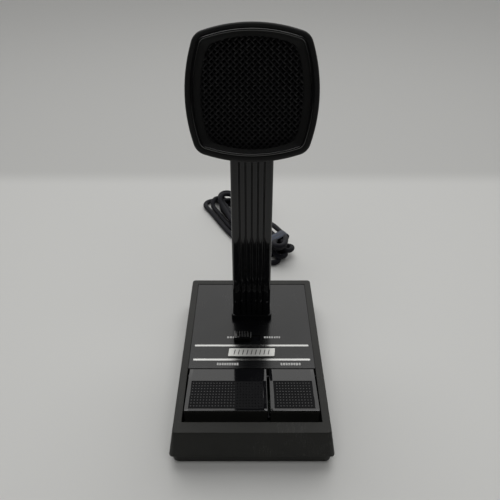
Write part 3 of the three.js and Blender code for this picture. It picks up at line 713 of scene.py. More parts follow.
def foam():
    return finish(
        "black_foam", (0.004, 0.004, 0.004), 0.95,
        grain=1300, height=0.5, mottle=0.5, specular=0.2,
    )


def steel():
    return finish(
        "plain_steel", (0.46, 0.47, 0.48), 0.34,
        grain=1100, height=0.02, metallic=1, mottle=0.12, scratch=0.5,
    )


def black_screw():
    return finish(
        "blackened_screw", (0.05, 0.05, 0.052), 0.36,
        grain=1500, height=0.02, metallic=1, wear=0.8,
    )


def rubber():
    return finish(
        "black_rubber", (0.011, 0.011, 0.011), 0.72,
        grain=1300, height=0.08, mottle=0.35, specular=0.3,
    )


def inner_plastic():
    return finish("inner_plastic", (0.03, 0.03, 0.031), 0.45, grain=1400, height=0.04)


def board_lacquer():
    return finish("board_lacquer", (0.004, 0.016, 0.008), 0.4, grain=700, height=0.04, mottle=0.4)


def cord_sheath():
    return finish("cord_sheath", chosen("cord"), 0.4, grain=1100, height=0.06, mottle=0.35, specular=0.08)


def plug_metal():
    return finish(
        "plug_metal", (0.6, 0.6, 0.59), 0.24,
        grain=1600, height=0.01, metallic=1, mottle=0.1, scratch=0.5,
    )


def tie_tape():
    turn = math.atan2(HANK_ALONG.y, HANK_ALONG.x)
    plain = finish("tie_tape", chosen("tie"), 0.55, grain=900, height=0.1, mottle=0.2)
    return weave(plain, 0.7, -turn)


def dress(finish_now, *nodes):
    """Gives CAD nodes that stay a finish."""
    for node in nodes:
        mesh_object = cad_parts[node]
        mesh_object.data.materials.clear()
        mesh_object.data.materials.append(finish_now)


# ---------------------------------------------------------------- camera, cord


class MICROPHONE_OT_camera(bpy.types.Operator):
    """Place the camera in front of and above the microphone"""

    bl_idname = "microphone.camera"
    bl_label = "Camera"

    def execute(self, context):
        data = bpy.data.cameras.new("camera")
        data.lens = CAMERA_LENS
        data.sensor_width = 36
        data.clip_start = 0.01
        camera = add_object("camera", data)
        camera.location = CAMERA_PLACE
        camera.rotation_euler = (math.radians(90 - CAMERA_DOWN), 0, 0)
        context.scene.camera = camera
        return {"FINISHED"}


def on_hank(along, across, z):
    """A point of the folded cord, from its place along and across the hank."""
    return HANK_MIDDLE + HANK_ALONG * along + HANK_ACROSS * across + Vector((0, 0, z))


def fold(middle, radius, start, end, heights, steps=6):
    """Points round one end loop of the hank, from angle start to end in degrees, through three heights."""
    points = []
    for i in range(steps + 1):
        share = i / steps
        angle = math.radians(start + (end - start) * share)
        first, peak, last = heights
        bow = 4 * share * (1 - share)
        z = (first + (last - first) * share) * (1 - bow) + peak * bow
        x, y = middle[0] + radius * math.cos(angle), middle[1] + radius * math.sin(angle)
        points.append(on_hank(x, y, z))
    return points


# One row for each turn: where its outward run passes the middle of the hank (across, height), its far loop
# (middle, radius, three heights), and where its homeward run passes the middle of the hank.
TURNS = (
    ((-20.6, 2.9), ((57.5, -5.5), 9.8, (2.9, 2.9, 2.9)), (-1.0, 2.9)),
    ((-15.0, 2.9), ((50.5, 0.2), 9.8, (3.2, 8.8, 4.0)), (4.6, 2.9)),
    ((-9.4, 2.9), ((40.0, 5.6), 9.8, (3.5, 9.2, 6.0)), (10.2, 2.9)),
    ((-6.6, 7.7), ((48.0, 8.4), 9.8, (12.8, 14.6, 10.5)), (13.0, 7.6)),
    ((-12.2, 7.7), ((37.5, 2.8), 9.8, (14.0, 18.8, 15.0)), (7.4, 8.0)),
)
# One row for each passage back through the tie: the place of the strand that comes, the near loop (middle,
# radius, first and last angle, three heights), and the place of the strand that leaves.
PASSAGES = (
    ((0.0, 4.2), ((-68.0, -9.0), 6.2, 115, 300, (2.9, 2.9, 3.0)), (-5.6, 4.2)),
    ((5.6, 4.2), ((-67.5, -0.6), 6.4, 85, 280, (2.9, 6.6, 10.2)), (-5.6, 9.7)),
    ((5.6, 9.7), ((-66.0, 8.4), 6.2, 65, 245, (7.4, 9.2, 11.4)), (0.0, 9.7)),
    ((5.6, 15.2), ((-65.5, -1.2), 6.6, 85, 275, (16.2, 16.2, 15.6)), (-5.6, 15.2)),
)
LAST_PLACE = (0.0, 15.2)
RAISED_LOOP = (
    (-62, -1.5, 18), (-65.5, -6, 20.6), (-70, -9.5, 21.4), (-74.5, -8.5, 21.4), (-76.5, -4, 21.2),
    (-74.5, 1, 20.9), (-69, 5.4, 20.6), (-63, 9.8, 19.2), (-57, 11.4, 17.8), (-49, 12.8, 17.6),
    (-38, 14, 17.2), (-29, 14.8, 15.6), (-20, 16.6, 12), (-9, 20.2, 6.4), (0, 23.4, 4.2),
)
TIE_PLACES = [place_now for passage in PASSAGES for place_now in (passage[0], passage[2])]
TIE_PLACES += [LAST_PLACE, RAISED_LOOP[8][1:]]
# How a strand nears the tie: its place along the hank, and the shares of the way across and up it has gone.
TIE_APPROACH = ((-20, 0.42, 0.62), (-33, 0.78, 0.88), (-44, 0.97, 1), (TIE_AT + 4, 1, 1), (TIE_AT - 1, 1, 1))


def cord_route():
    """The cord's centreline from the base to the plug: lead, five turns of the hank, tail."""
    points = [
        Vector((0, 99, 15)),
        Vector((0, 106, 15)),
        Vector((0, 112, 14.8)),
        Vector((0, 119, 13)),
        Vector((0, 128, 8.2)),
        Vector((0, 138, 3.9)),
        Vector((-0.6, 148, 2.9)),
        Vector((-1.6, 158, 2.9)),
        on_hank(-32, -20.8, 2.9),
        on_hank(-16, -20.8, 2.9),
    ]
    for turn, (out, (middle, radius, heights), home) in enumerate(TURNS):
        left, right = middle[1] - radius, middle[1] + radius
        points.append(on_hank(0, *out))
        points.append(on_hank(middle[0] / 2 - 4, (out[0] + left) / 2, (2 * out[1] + heights[0]) / 3))
        points.append(on_hank(middle[0] - 9, left, (out[1] + 2 * heights[0]) / 3))
        points += fold(middle, radius, -90, 90, heights)
        points.append(on_hank(middle[0] - 9, right, (home[1] + 2 * heights[2]) / 3))
        points.append(on_hank(middle[0] / 2 - 4, (home[0] + right) / 2, (2 * home[1] + heights[2]) / 3))
        points.append(on_hank(0, *home))
        come = PASSAGES[turn][0] if turn < len(PASSAGES) else LAST_PLACE
        points += through_tie(home, come)
        if turn < len(PASSAGES):
            (middle, radius, first, last, heights), leave = PASSAGES[turn][1:]
            points += fold(middle, radius, first, last, heights)
            points += reversed(through_tie(TURNS[turn + 1][0], leave))
    points += [on_hank(*place_now) for place_now in RAISED_LOOP]
    points += [Vector((12.4, 227, 6)), Vector((13, 234, 8.7)), Vector((13, 239, 9)), Vector((12.8, 243, 9))]
    return points


def through_tie(run, place_now):
    """Points from the middle of the hank into the tie, where the strand has its own place."""
    points = []
    for along, share, lift in TIE_APPROACH:
        across = run[0] + (place_now[0] - run[0]) * share
        z = run[1] + (place_now[1] - run[1]) * lift
        points.append(on_hank(along, across, z))
    return points


class MICROPHONE_OT_cord(bpy.types.Operator):
    """Lay the cord from the base into a tied hank and out to its plug"""

    bl_idname = "microphone.cord"
    bl_label = "Cord"

    def execute(self, context):
        width = context.scene.microphone_sizes.cord_width
        radius = width / 2 / MM
        cord = make_line("cord", [cord_route()], radius, cord_sheath(), resolution=6, kind="NURBS", steps=5)
        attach(cord, "base")
        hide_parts("cord_lead", "cord_hank", "cord_tail")
        tie = self.tie(radius)
        return {"FINISHED"}

    def tie(self, cord_radius):
        """A strap of woven tape drawn tight round the strands."""

        def outline(grow, along):
            ring = []
            for i in range(56):
                angle = 2 * math.pi * i / 56
                out = Vector((math.cos(angle), math.sin(angle)))
                across, z = max(TIE_PLACES, key=lambda at: at[0] * out.x + at[1] * out.y)
                reach = cord_radius + grow
                ring.append(on_hank(along, across + out.x * reach, z + out.y * reach))
            return ring

        near, far = TIE_AT - TIE_HALF_WIDTH, TIE_AT + TIE_HALF_WIDTH
        rings = [outline(0.1, near), outline(0.8, near), outline(1, near + 0.3), outline(1, far - 0.3)]
        rings += [outline(0.8, far), outline(0.1, far)]
        strap = loft(rings, closed=True)
        return make_piece("cord_tie_strap", strap, tie_tape(), "base", ["cord_tie"], 50)


class MICROPHONE_OT_strain_relief(bpy.types.Operator):
    """Make the tapered, ribbed sleeve where the cord leaves the base"""

    bl_idname = "microphone.strain_relief"
    bl_label = "Strain relief"

    def execute(self, context):
        profile = [(0, -8), (4.8, -8), (4.8, 0.2), (6.4, 0.2), (6.6, 0.4), (6.6, 2.7), (6.3, 3), (5.2, 3.3)]
        for rib in range(6):
            start = 4 + rib * 3.4
            radius = 5.2 - 1.7 * (start - 4) / 22
            profile += [(radius, start), (radius - 0.15, start + 2.1)]
            profile += [(radius - 1, start + 2.4), (radius - 1, start + 3)]
        profile += [(3.75, 24.6), (3.65, 25.6), (3.3, 26), (0, 26)]
        turn = Matrix.Translation(CORD_EXIT) @ Matrix.Rotation(math.radians(-90), 4, "X")
        sleeve = place(turned(profile, 36), turn)
        make_piece("cord_strain_relief", sleeve, rubber(), "base", ["strain_relief"], 28)
        return {"FINISHED"}


class MICROPHONE_OT_plug(bpy.types.Operator):
    """Make the plug: metal body, knurled ring that turns, and insert with contact holes"""

    bl_idname = "microphone.plug"
    bl_label = "Plug"

    def execute(self, context):
        stand_up = PLUG @ Matrix.Rotation(math.radians(-90), 4, "X")
        body = turned([
            (0, 0), (3.7, 0), (4.1, 0.2), (4.3, 0.6), (4.6, 1.2), (4.6, 8.6), (4.9, 9.4), (6.6, 11.4),
            (6.9, 11.8), (7, 12.3), (7, 14), (6.7, 14.2), (6.7, 14.8), (7, 15), (7, 25.6), (6.8, 26.2),
            (6.4, 26.6), (6.4, 29.4), (6.2, 29.6), (0, 29.6),
        ])
        make_piece("cord_plug_body", place(body, stand_up), plug_metal(), "base", ["plug_body"])

        flutes = 36
        count = 4 * flutes

        def fluted(angle):
            return 1 - 0.035 * (0.5 + 0.5 * math.cos(flutes * angle))

        lower = ((7.1, 27), (7.9, 27), (8.3, 27.4), (8.3, 28.4))
        grip = ((8.1, 28.6), (8.4, 29), (8.4, 35.6), (8.1, 36))
        upper = ((8.2, 36.2), (8.2, 37.2), (7.7, 38), (7.1, 38))
        rings = [circle(*at, count) for at in lower]
        rings += [circle(*at, count, fluted) for at in grip]
        rings += [circle(*at, count) for at in upper]
        ring = place(loft(rings, closed=True), stand_up)
        make_piece("cord_plug_ring", ring, plug_metal(), "plug_ring", ["plug_ring"])

        insert = turned([(0, 29.9), (6, 29.9), (6, 36.2), (5.7, 36.5), (0, 36.5)])
        for contact in range(4):
            angle = math.radians(45 + 90 * contact)
            hole = turned([(0, 33), (0.8, 33), (0.8, 38), (0, 38)], 16)
            at = Matrix.Translation((3 * math.cos(angle), 3 * math.sin(angle), 0))
            insert = carve(insert, place(hole, at))
        insert = place(insert, stand_up)
        make_piece("cord_plug_insert", insert, inner_plastic(), "base", ["plug_insert"])
        return {"FINISHED"}


# ---------------------------------------------------------------- base


def reaches_past(a, b, within):
    """Whether an edge reaches past a rectangle of these half sides round the middle."""
    return max(abs(a.x), abs(b.x)) > within[0] or max(abs(a.y), abs(b.y)) > within[1]


class MICROPHONE_OT_base_shell(bpy.types.Operator):
    """Make the sloping base shell with softened edges"""

    bl_idname = "microphone.base_shell"
    bl_label = "Base shell"

    def execute(self, context):
        bm = cad_copy("base_shell")

        def on_rim(a, b):
            return reaches_past(a, b, RIM_WITHIN) and min(a.z, b.z) > BASE_TOP - 0.05

        def on_recess(a, b):
            inside = max(abs(a.x), abs(b.x)) < RECESS_HALF_WIDTH + 0.1 and max(a.y, b.y) < RECESS_BACK + 0.1
            return inside and min(a.y, b.y) > WELL_FRONT - 0.1 and min(a.z, b.z) > BASE_TOP - 0.05

        def on_skirt(a, b):
            return reaches_past(a, b, SKIRT_WITHIN) and max(a.z, b.z) < SKIRT_BOTTOM + 0.05

        round_edges(bm, on_rim, 0.7, 4)
        round_edges(bm, on_recess, 0.25, 2)
        round_edges(bm, on_skirt, 0.35, 2)
        make_piece("base_housing", bm, shell_plastic(), "base", ["base_shell"], 36, flat=150)
        return {"FINISHED"}


class MICROPHONE_OT_bottom_tray(bpy.types.Operator):
    """Make the tray that closes the base, and its four rubber feet"""

    bl_idname = "microphone.bottom_tray"
    bl_label = "Tray and feet"

    def execute(self, context):
        bm = cad_copy("bottom_tray")

        def on_outside(a, b):
            return reaches_past(a, b, TRAY_WITHIN) and abs(a.z - b.z) < 0.05

        round_edges(bm, on_outside, 0.4, 3)
        make_piece("base_tray", bm, shell_plastic(), "base", ["bottom_tray"], 36, flat=150)
        for place_name in ("front_left", "front_right", "rear_left", "rear_right"):
            low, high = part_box(f"foot_{place_name}")
            middle = (low + high) / 2 / MM
            profile = [(0, 0.25), (3.4, 0.25), (3.8, 0), (5.2, 0), (5.8, 0.25), (6, 0.8), (6, 1.7), (0, 1.7)]
            foot = place(turned(profile, 36), Matrix.Translation((middle.x, middle.y, 0)))
            make_piece(f"rubber_foot_{place_name}", foot, rubber(), "base", [f"foot_{place_name}"])
        return {"FINISHED"}


class MICROPHONE_OT_panel(bpy.types.Operator):
    """Finish the label plate and add its silver stripes and plain caption marks"""

    bl_idname = "microphone.panel"
    bl_label = "Label plate"

    def execute(self, context):
        dress(panel_plate(), "top_panel")
        lines = (PANEL_TOP - 0.05, PANEL_TOP + 0.12)
        stripes = []
        for y in STRIPE_PLACES:
            across = (y - STRIPE_HALF_WIDTH, y + STRIPE_HALF_WIDTH)
            stripes.append(block((-STRIPE_HALF_LENGTH, STRIPE_HALF_LENGTH), across, lines, 0.06, 0.5))
        make_piece("panel_stripes", join(*stripes), stripe_foil(), "base", flat=20)
        marks = []
        for start, end, y, height in CAPTIONS:
            count = round((end - start) / MARK_PITCH)
            pitch = (end - start + MARK_GAP) / count
            across = (y - height / 2, y + height / 2)
            for i in range(count):
                x = start + i * pitch
                marks.append(block((x, x + pitch - MARK_GAP), across, lines, 0.06, 0.3, 2))
        make_piece("panel_captions", join(*marks), caption_paint(), "base")
        return {"FINISHED"}


class MICROPHONE_OT_badge(bpy.types.Operator):
    """Make the slanted silver badge with plain hatching"""

    bl_idname = "microphone.badge"
    bl_label = "Badge"

    def execute(self, context):
        def outline(inset, z):
            ring = []
            for i, corner in enumerate(corners):
                back = (corners[i - 1] - corner).normalized()
                on = (corners[(i + 1) % 4] - corner).normalized()
                for j in range(5):
                    share = j / 4
                    near = corner + back * 0.8 * (1 - share) ** 2
                    near += on * 0.8 * share ** 2
                    shrink = Vector((1 - inset / 17, 1 - inset / 4.1))
                    ring.append(Vector((near.x * shrink.x, near.y * shrink.y + BADGE_Y, z)))
            return ring

        corners = [Vector(corner) for corner in BADGE_CORNERS]
        top = PANEL_TOP + BADGE_HEIGHT
        levels = ((0, PANEL_TOP + 0.02), (0, top - 0.2), (0.08, top - 0.06), (0.22, top))
        plate = loft([outline(inset, z) for inset, z in levels])
        make_piece("badge", plate, silver_trim(), "base", ["badge_plate"], flat=20)
        bars = []
        for i in range(9):
            bar = block((-0.32, 0.32), (-2.5, 2.5), (top - 0.05, top + 0.06), 0.03, 0.2, 2)
            slant = Matrix(((1, 0.18, 0, -12.4 + i * 3.1), (0, 1, 0, BADGE_Y), (0, 0, 1, 0), (0, 0, 0, 1)))
            bars.append(place(bar, slant))
        make_piece("badge_hatching", join(*bars), badge_enamel(), "base")
        return {"FINISHED"}


class MICROPHONE_OT_lock_slider(bpy.types.Operator):
    """Make the ribbed knob that slides sideways to hold the wide bar down"""

    bl_idname = "microphone.lock_slider"
    bl_label = "Lock slider"

    def execute(self, context):
        low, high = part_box("lock_slider")
        low, high = low / MM, high / MM
        middle = (low.x + high.x) / 2
        base_z = PANEL_TOP + 0.3
        cap = block((low.x, high.x), (low.y, high.y), (base_z, high.z - 0.4), 0.6, 1.2, 6)
        neck = block((middle - 4, middle + 4), (LOCK_Y - 2.4, LOCK_Y + 2.4), (low.z, base_z + 0.2), 0.1, 0.3)
        ribs = []
        for i in range(5):
            x = middle + (i - 2) * 2
            across = (low.y + 0.9, high.y - 0.9)
            ribs.append(block((x - 0.45, x + 0.45), across, (high.z - 0.6, high.z), 0.3, 0.4))
        knob = join(cap, neck, *ribs)
        make_piece("lock_knob", knob, column_plastic(), "lock_slider", ["lock_slider"])
        return {"FINISHED"}


def bar_top_at(y):
    """Height of a press bar's upper face."""
    return BAR_BACK_TOP + (BAR_FRONT_TOP - BAR_BACK_TOP) * (BAR_BACK - y) / (BAR_BACK - BAR_FRONT)


class MICROPHONE_OT_press_bars(bpy.types.Operator):
    """Make the two press bars, each with a sunk field of small raised dots"""

    bl_idname = "microphone.press_bars"
    bl_label = "Press bars"

    def execute(self, context):
        sizes = context.scene.microphone_sizes
        for name, span in BARS.items():
            self.bar(name, span)
            self.dots(name, span, sizes.dot_pitch / MM, sizes.dot_width / MM)
        return {"FINISHED"}

    def bar(self, name, span):
        bm = cad_copy(f"{name}_bar")
        left, right = span[0] + FIELD_SIDE, span[1] - FIELD_SIDE
        cuts = (((left, 0, 0), (1, 0, 0)), ((right, 0, 0), (1, 0, 0)))
        cuts += (((0, FIELD_BACK, 0), (0, 1, 0)), ((0, FIELD_FRONT, 0), (0, 1, 0)))

        def on_top(face):
            middle = face.calc_center_median()
            return face.normal.z > 0.9 and abs(middle.z - bar_top_at(middle.y)) < 0.01

        for point, normal in cuts:
            faces = [f for f in bm.faces if on_top(f)]
            geometry = set(faces) | {e for f in faces for e in f.edges} | {v for f in faces for v in f.verts}
            bmesh.ops.bisect_plane(bm, geom=list(geometry), dist=0.0001, plane_co=point, plane_no=normal)
        for face in filter(on_top, bm.faces):
            middle = face.calc_center_median()
            if left < middle.x < right and FIELD_FRONT < middle.y < FIELD_BACK:
                field = face
        bmesh.ops.inset_individual(bm, faces=[field], thickness=0.22, depth=-FIELD_DEPTH)
        field.material_index = 1
        for face in bm.faces:
            if face.normal.y < -0.9 and face.calc_center_median().y < BAR_FRONT + 0.1:
                face.material_index = 2

        def on_outside(a, b):
            high = all(abs(p.z - bar_top_at(p.y)) < 0.01 for p in (a, b))
            side = any(all(abs(p.x - x) < 0.01 for p in (a, b)) for x in span)
            front = all(p.y < BAR_FRONT + 0.01 for p in (a, b))
            back = all(p.y > BAR_BACK - 0.01 for p in (a, b))
            return (high and (side or front or back)) or (side and front)

        round_edges(bm, on_outside, 0.45, 3)
        finishes = [bar_plastic(), bar_field_plastic(), bar_front_plastic()]
        make_piece(f"{name}_key", bm, finishes, f"{name}_bar", [f"{name}_bar"], 36, flat=45)

    def dots(self, name, span, pitch, width):
        columns = int((span[1] - span[0] - 2 * FIELD_SIDE - 0.6) / pitch)
        row_pitch = pitch * ROW_STRETCH
        rows = int((FIELD_BACK - FIELD_FRONT - 0.6) / row_pitch)
        middle_x, middle_y = sum(span) / 2, (FIELD_BACK + FIELD_FRONT) / 2
        lean = math.atan2(BAR_FRONT_TOP - BAR_BACK_TOP, BAR_BACK - BAR_FRONT)
        bm = bmesh.new()
        for column in range(columns):
            for row in range(rows):
                x = middle_x + (column - (columns - 1) / 2) * pitch
                y = middle_y + (row - (rows - 1) / 2) * row_pitch
                z = bar_top_at(y) - FIELD_DEPTH / 2
                where = Matrix.Translation((x, y, z)) @ Matrix.Rotation(-lean, 4, "X")
                bmesh.ops.create_cone(
                    bm,
                    cap_ends=True,
                    segments=10,
                    radius1=width / 2,
                    radius2=width * 0.36,
                    depth=FIELD_DEPTH + 0.04,
                    matrix=where,
                )
        make_piece(f"{name}_key_dots", bm, bar_plastic(), f"{name}_bar")


class MICROPHONE_OT_springs(bpy.types.Operator):
    """Wind the two return springs under the press bars"""

    bl_idname = "microphone.springs"
    bl_label = "Springs"

    def execute(self, context):
        for name, span in BARS.items():
            x = sum(span) / 2
            low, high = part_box(f"{name}_spring")
            bottom, top = low.z / MM + 0.5, high.z / MM - 0.5
            points = []
            for i in range(SPRING_TURNS * 18 + 1):
                turns = i / 18
                angle = 2 * math.pi * turns
                rise = min(1, max(0, (turns - 0.8) / (SPRING_TURNS - 1.6)))
                out = Vector((math.cos(angle), math.sin(angle))) * SPRING_RADIUS
                points.append(Vector((x + out.x, SPRING_Y + out.y, bottom + (top - bottom) * rise)))
            line = make_line(f"{name}_coil_spring", [points], SPRING_WIRE, steel(), resolution=2)
            coil = line_to_mesh(line, "base", [f"{name}_spring"])
            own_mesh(coil)
        return {"FINISHED"}


# ---------------------------------------------------------------- column


def column_ring(z, grow=0.0, steps=8):
    """The column's plain outline at a height, grown all round."""
    half_x, half_y = COLUMN_HALF_WIDTH + grow, COLUMN_HALF_DEPTH + grow
    return rounded_rectangle(half_x, half_y, COLUMN_CORNER + grow, z, COLUMN_MIDDLE, steps)


def column_outline(z):
    """The column's outline at a height, with its grooves down the front."""
    points = column_ring(z)
    corner = len(points) * 3 // 4
    front = []
    half = [(0.72, 0), (0.62, 0.05), (0.54, 0.16), (0.14, GROOVE_DEPTH)]
    profile = [(-x, y) for x, y in half] + [(x, y) for x, y in reversed(half)]
    for i in range(GROOVES):
        x = (i - (GROOVES - 1) / 2) * GROOVE_SPACING
        for dx, dy in profile:
            front.append(Vector((x + dx, COLUMN_FRONT + dy, z)))
    return points[:corner] + front + points[corner:]


class MICROPHONE_OT_column(bpy.types.Operator):
    """Make the hollow grooved column and the collar at its foot"""

    bl_idname = "microphone.column"
    bl_label = "Column"

    def execute(self, context):
        def bore(z):
            x_limit = COLUMN_HALF_WIDTH - COLUMN_WALL
            y_low, y_high = COLUMN_FRONT + COLUMN_WALL, COLUMN_BACK - COLUMN_WALL
            return [
                Vector((max(-x_limit, min(x_limit, p.x)), max(y_low, min(y_high, p.y)), z))
                for p in column_outline(z)
            ]

        rings = [column_outline(COLUMN_BOTTOM), column_outline(COLUMN_TOP)]
        rings += [bore(COLUMN_TOP), bore(COLUMN_BOTTOM)]
        column = loft(rings, closed=True)
        make_piece("column", column, column_plastic(), "base", ["stem_column"], 28)

        foot = PANEL_TOP + 0.1
        steps = ((0.3, foot), (1.4, foot), (1.4, 31.1), (1.28, 31.5), (0.95, 31.8), (0.6, 31.9), (0.3, 31.8))
        collar = loft([column_ring(z, grow) for grow, z in steps], closed=True)
        make_piece("column_collar", collar, column_plastic(), "base", ["stem_collar"], 40)
        return {"FINISHED"}


# ---------------------------------------------------------------- head


def face_samples(side_steps=14, corner_steps=8):
    """Points and outward directions round the head's outline: four bowed sides joined by tight corners."""
    reach = SIDE_RADIUS - FACE_HALF
    corner_at = -reach / 2 + math.sqrt((SIDE_RADIUS - FACE_CORNER) ** 2 / 2 - reach ** 2 / 4)
    turn = math.atan2(corner_at + reach, corner_at)
    spread = math.pi / 2 - turn
    samples = []
    for quarter in range(4):
        start = quarter * math.pi / 2
        spin = Matrix.Rotation(start, 2)
        side, corner = spin @ Vector((-reach, 0)), spin @ Vector((corner_at, corner_at))
        arcs = (
            (side, SIDE_RADIUS, start - spread, start + spread, side_steps, 0),
            (corner, FACE_CORNER, start + spread, start + turn, corner_steps, 1),
        )
        for middle, radius, begin, end, steps, skip in arcs:
            for i in range(skip, steps + 1 - skip):
                angle = begin + (end - begin) * i / steps
                out = Vector((math.cos(angle), math.sin(angle)))
                samples.append((middle + out * radius, out))
    return samples


FACE = face_samples()


def face_ring(half, depth, grow=0.0):
    """The head's outline scaled to a half width and height, then grown. Depth may depend on the height."""
    half_x, half_z = half if isinstance(half, tuple) else (half, half)
    ring = []
    for point, out in FACE:
        x = point.x * half_x / FACE_HALF + out.x * grow
        z = point.y * half_z / FACE_HALF + out.y * grow
        ring.append(Vector((x, depth(z) if callable(depth) else depth, z)))
    return ring


def inset_at(point):
    """How far inside the head's outline a point lies, seen from the front."""
    return min(out.x * (edge.x - point.x) + out.y * (edge.y - point.z) for edge, out in FACE)


def mix_rings(first, second, share, depth):
    ring = []
    for a, b in zip(first, second):
        point = a.lerp(b, share)
        point.y = depth
        ring.append(point)
    return ring


class MICROPHONE_OT_bezel(bpy.types.Operator):
    """Make the front rim of the head, with its groove, fine ridge and hollow slope"""

    bl_idname = "microphone.bezel"
    bl_label = "Bezel"

    def execute(self, context):
        outer = [(0, 8), (0, 2), (0.08, 1.3), (0.35, 0.7), (0.8, 0.28)]
        outer += [(1.4, 0.05), (2.2, 0), (3, 0.05), (3.1, 0.3), (3.25, 0.45)]
        for i in range(11):
            turn = math.pi * i / 10
            outer.append((RIDGE_AT - RIDGE_RADIUS * math.cos(turn), 0.35 - RIDGE_RADIUS * math.sin(turn)))
        outer.append((5.1, 1))
        rings = [face_ring(FACE_HALF, depth, -inset) for inset, depth in outer]
        lip = face_ring(OPENING_HALF, 4.6)
        edge = face_ring(FACE_HALF, 1, -5.1)
        for share, depth in ((0.18, 1.9), (0.42, 2.9), (0.7, 3.7), (0.92, 4.25), (1, 4.6), (1, 5)):
            rings.append(mix_rings(edge, lip, share, depth))
        seat = (OPENING_HALF[0] + 1.4, OPENING_HALF[1] + 1.4)
        flange = (OPENING_HALF[0] - 1.5, OPENING_HALF[1] - 1.5)
        rings += [face_ring(seat, 5), face_ring(seat, 6.8), face_ring(flange, 6.8), face_ring(flange, 8)]
        bezel = loft(rings, closed=True)
        for face in bezel.faces:
            middle = face.calc_center_median()
            if middle.y < 0.36 and abs(inset_at(middle) - RIDGE_AT) < RIDGE_RADIUS:
                face.material_index = 1
        finishes = [head_plastic(), polished_ridge()]
        make_piece("front_bezel", place(bezel, HEAD), finishes, "base", ["head_bezel"], 40)
        return {"FINISHED"}


class MICROPHONE_OT_grille(bpy.types.Operator):
    """Weave the grille's wire cloth across the opening, with its wires at 45 degrees"""

    bl_idname = "microphone.grille"
    bl_label = "Grille"

    def execute(self, context):
        sizes = context.scene.microphone_sizes
        pitch, width = sizes.wire_pitch / MM, sizes.wire_width / MM
        rim = face_ring((OPENING_HALF[0] + 1.0, OPENING_HALF[1] + 1.0), 0)
        rim = [Vector((p.x, p.z)) for p in rim]
        along = (Vector((1, 1)).normalized(), Vector((-1, 1)).normalized())
        runs = []
        for side in (0, 1):
            line, across = along[side], along[1 - side]
            for number in range(-20, 21):
                offset = number * pitch
                ends = self.chord(rim, line, across, offset)
                if ends is None:
                    continue
                first, last = (math.ceil(ends[0] / pitch * 4), math.floor(ends[1] / pitch * 4))
                run = []
                for step in range(first, last + 1):
                    place_now = line * (step * pitch / 4) + across * offset
                    lift = width * 0.36 * math.cos(math.pi * step / 4) * (1 if (number + side) % 2 else -1)
                    dome = GRILLE_DOME * (1 - (place_now.length / GRILLE_DOME_REACH) ** 2)
                    depth = GRILLE_EDGE_DEPTH - dome - lift
                    run.append(HEAD @ Vector((place_now.x, depth, place_now.y)))
                if len(run) > 3:
                    runs.append(run)
        wires = make_line("wire_grille", runs, width / 2, grille_wire(), resolution=1)
        line_to_mesh(wires, "base", ["grille"])
        return {"FINISHED"}

    def chord(self, rim, line, across, offset):
        """Where a straight wire enters and leaves the outline."""
        found = []
        for a, b in zip(rim, rim[1:] + rim[:1]):
            da, db = a.dot(across) - offset, b.dot(across) - offset
            if (da < 0) != (db < 0):
                found.append(a.lerp(b, da / (da - db)).dot(line))
        return (min(found), max(found)) if len(found) > 1 else None


class MICROPHONE_OT_foam(bpy.types.Operator):
    """Make the open foam pad behind the grille"""

    bl_idname = "microphone.foam"
    bl_label = "Foam pad"

    def execute(self, context):
        half = (OPENING_HALF[0] - 2.2, OPENING_HALF[1] - 2.2)
        shares = (0.03, 0.12, 0.22, 0.32, 0.42, 0.52, 0.62, 0.72, 0.82, 0.9, 0.96, 0.99)
        rings = [face_ring((half[0] * s, half[1] * s), 6.9 + 0.9 * s ** 6) for s in shares]
        rings += [face_ring(half, 8.6), face_ring(half, 10.2)]
        for share, depth in ((0.98, 10.9), (0.9, 11), (0.5, 11), (0.05, 11)):
            rings.append(face_ring((half[0] * share, half[1] * share), depth))
        bm = loft(rings)
        for vert in bm.verts:
            if vert.co.y < 10:
                vert.co.y += 0.22 * noise.noise(vert.co * 0.9)
        pad = make_piece("foam_cushion", place(bm, HEAD), foam(), "base", ["foam_pad"], 60)
        return {"FINISHED"}


def rod(radius, start, end):
    return turned([(0, start), (radius, start), (radius, end), (0, end)], 32)


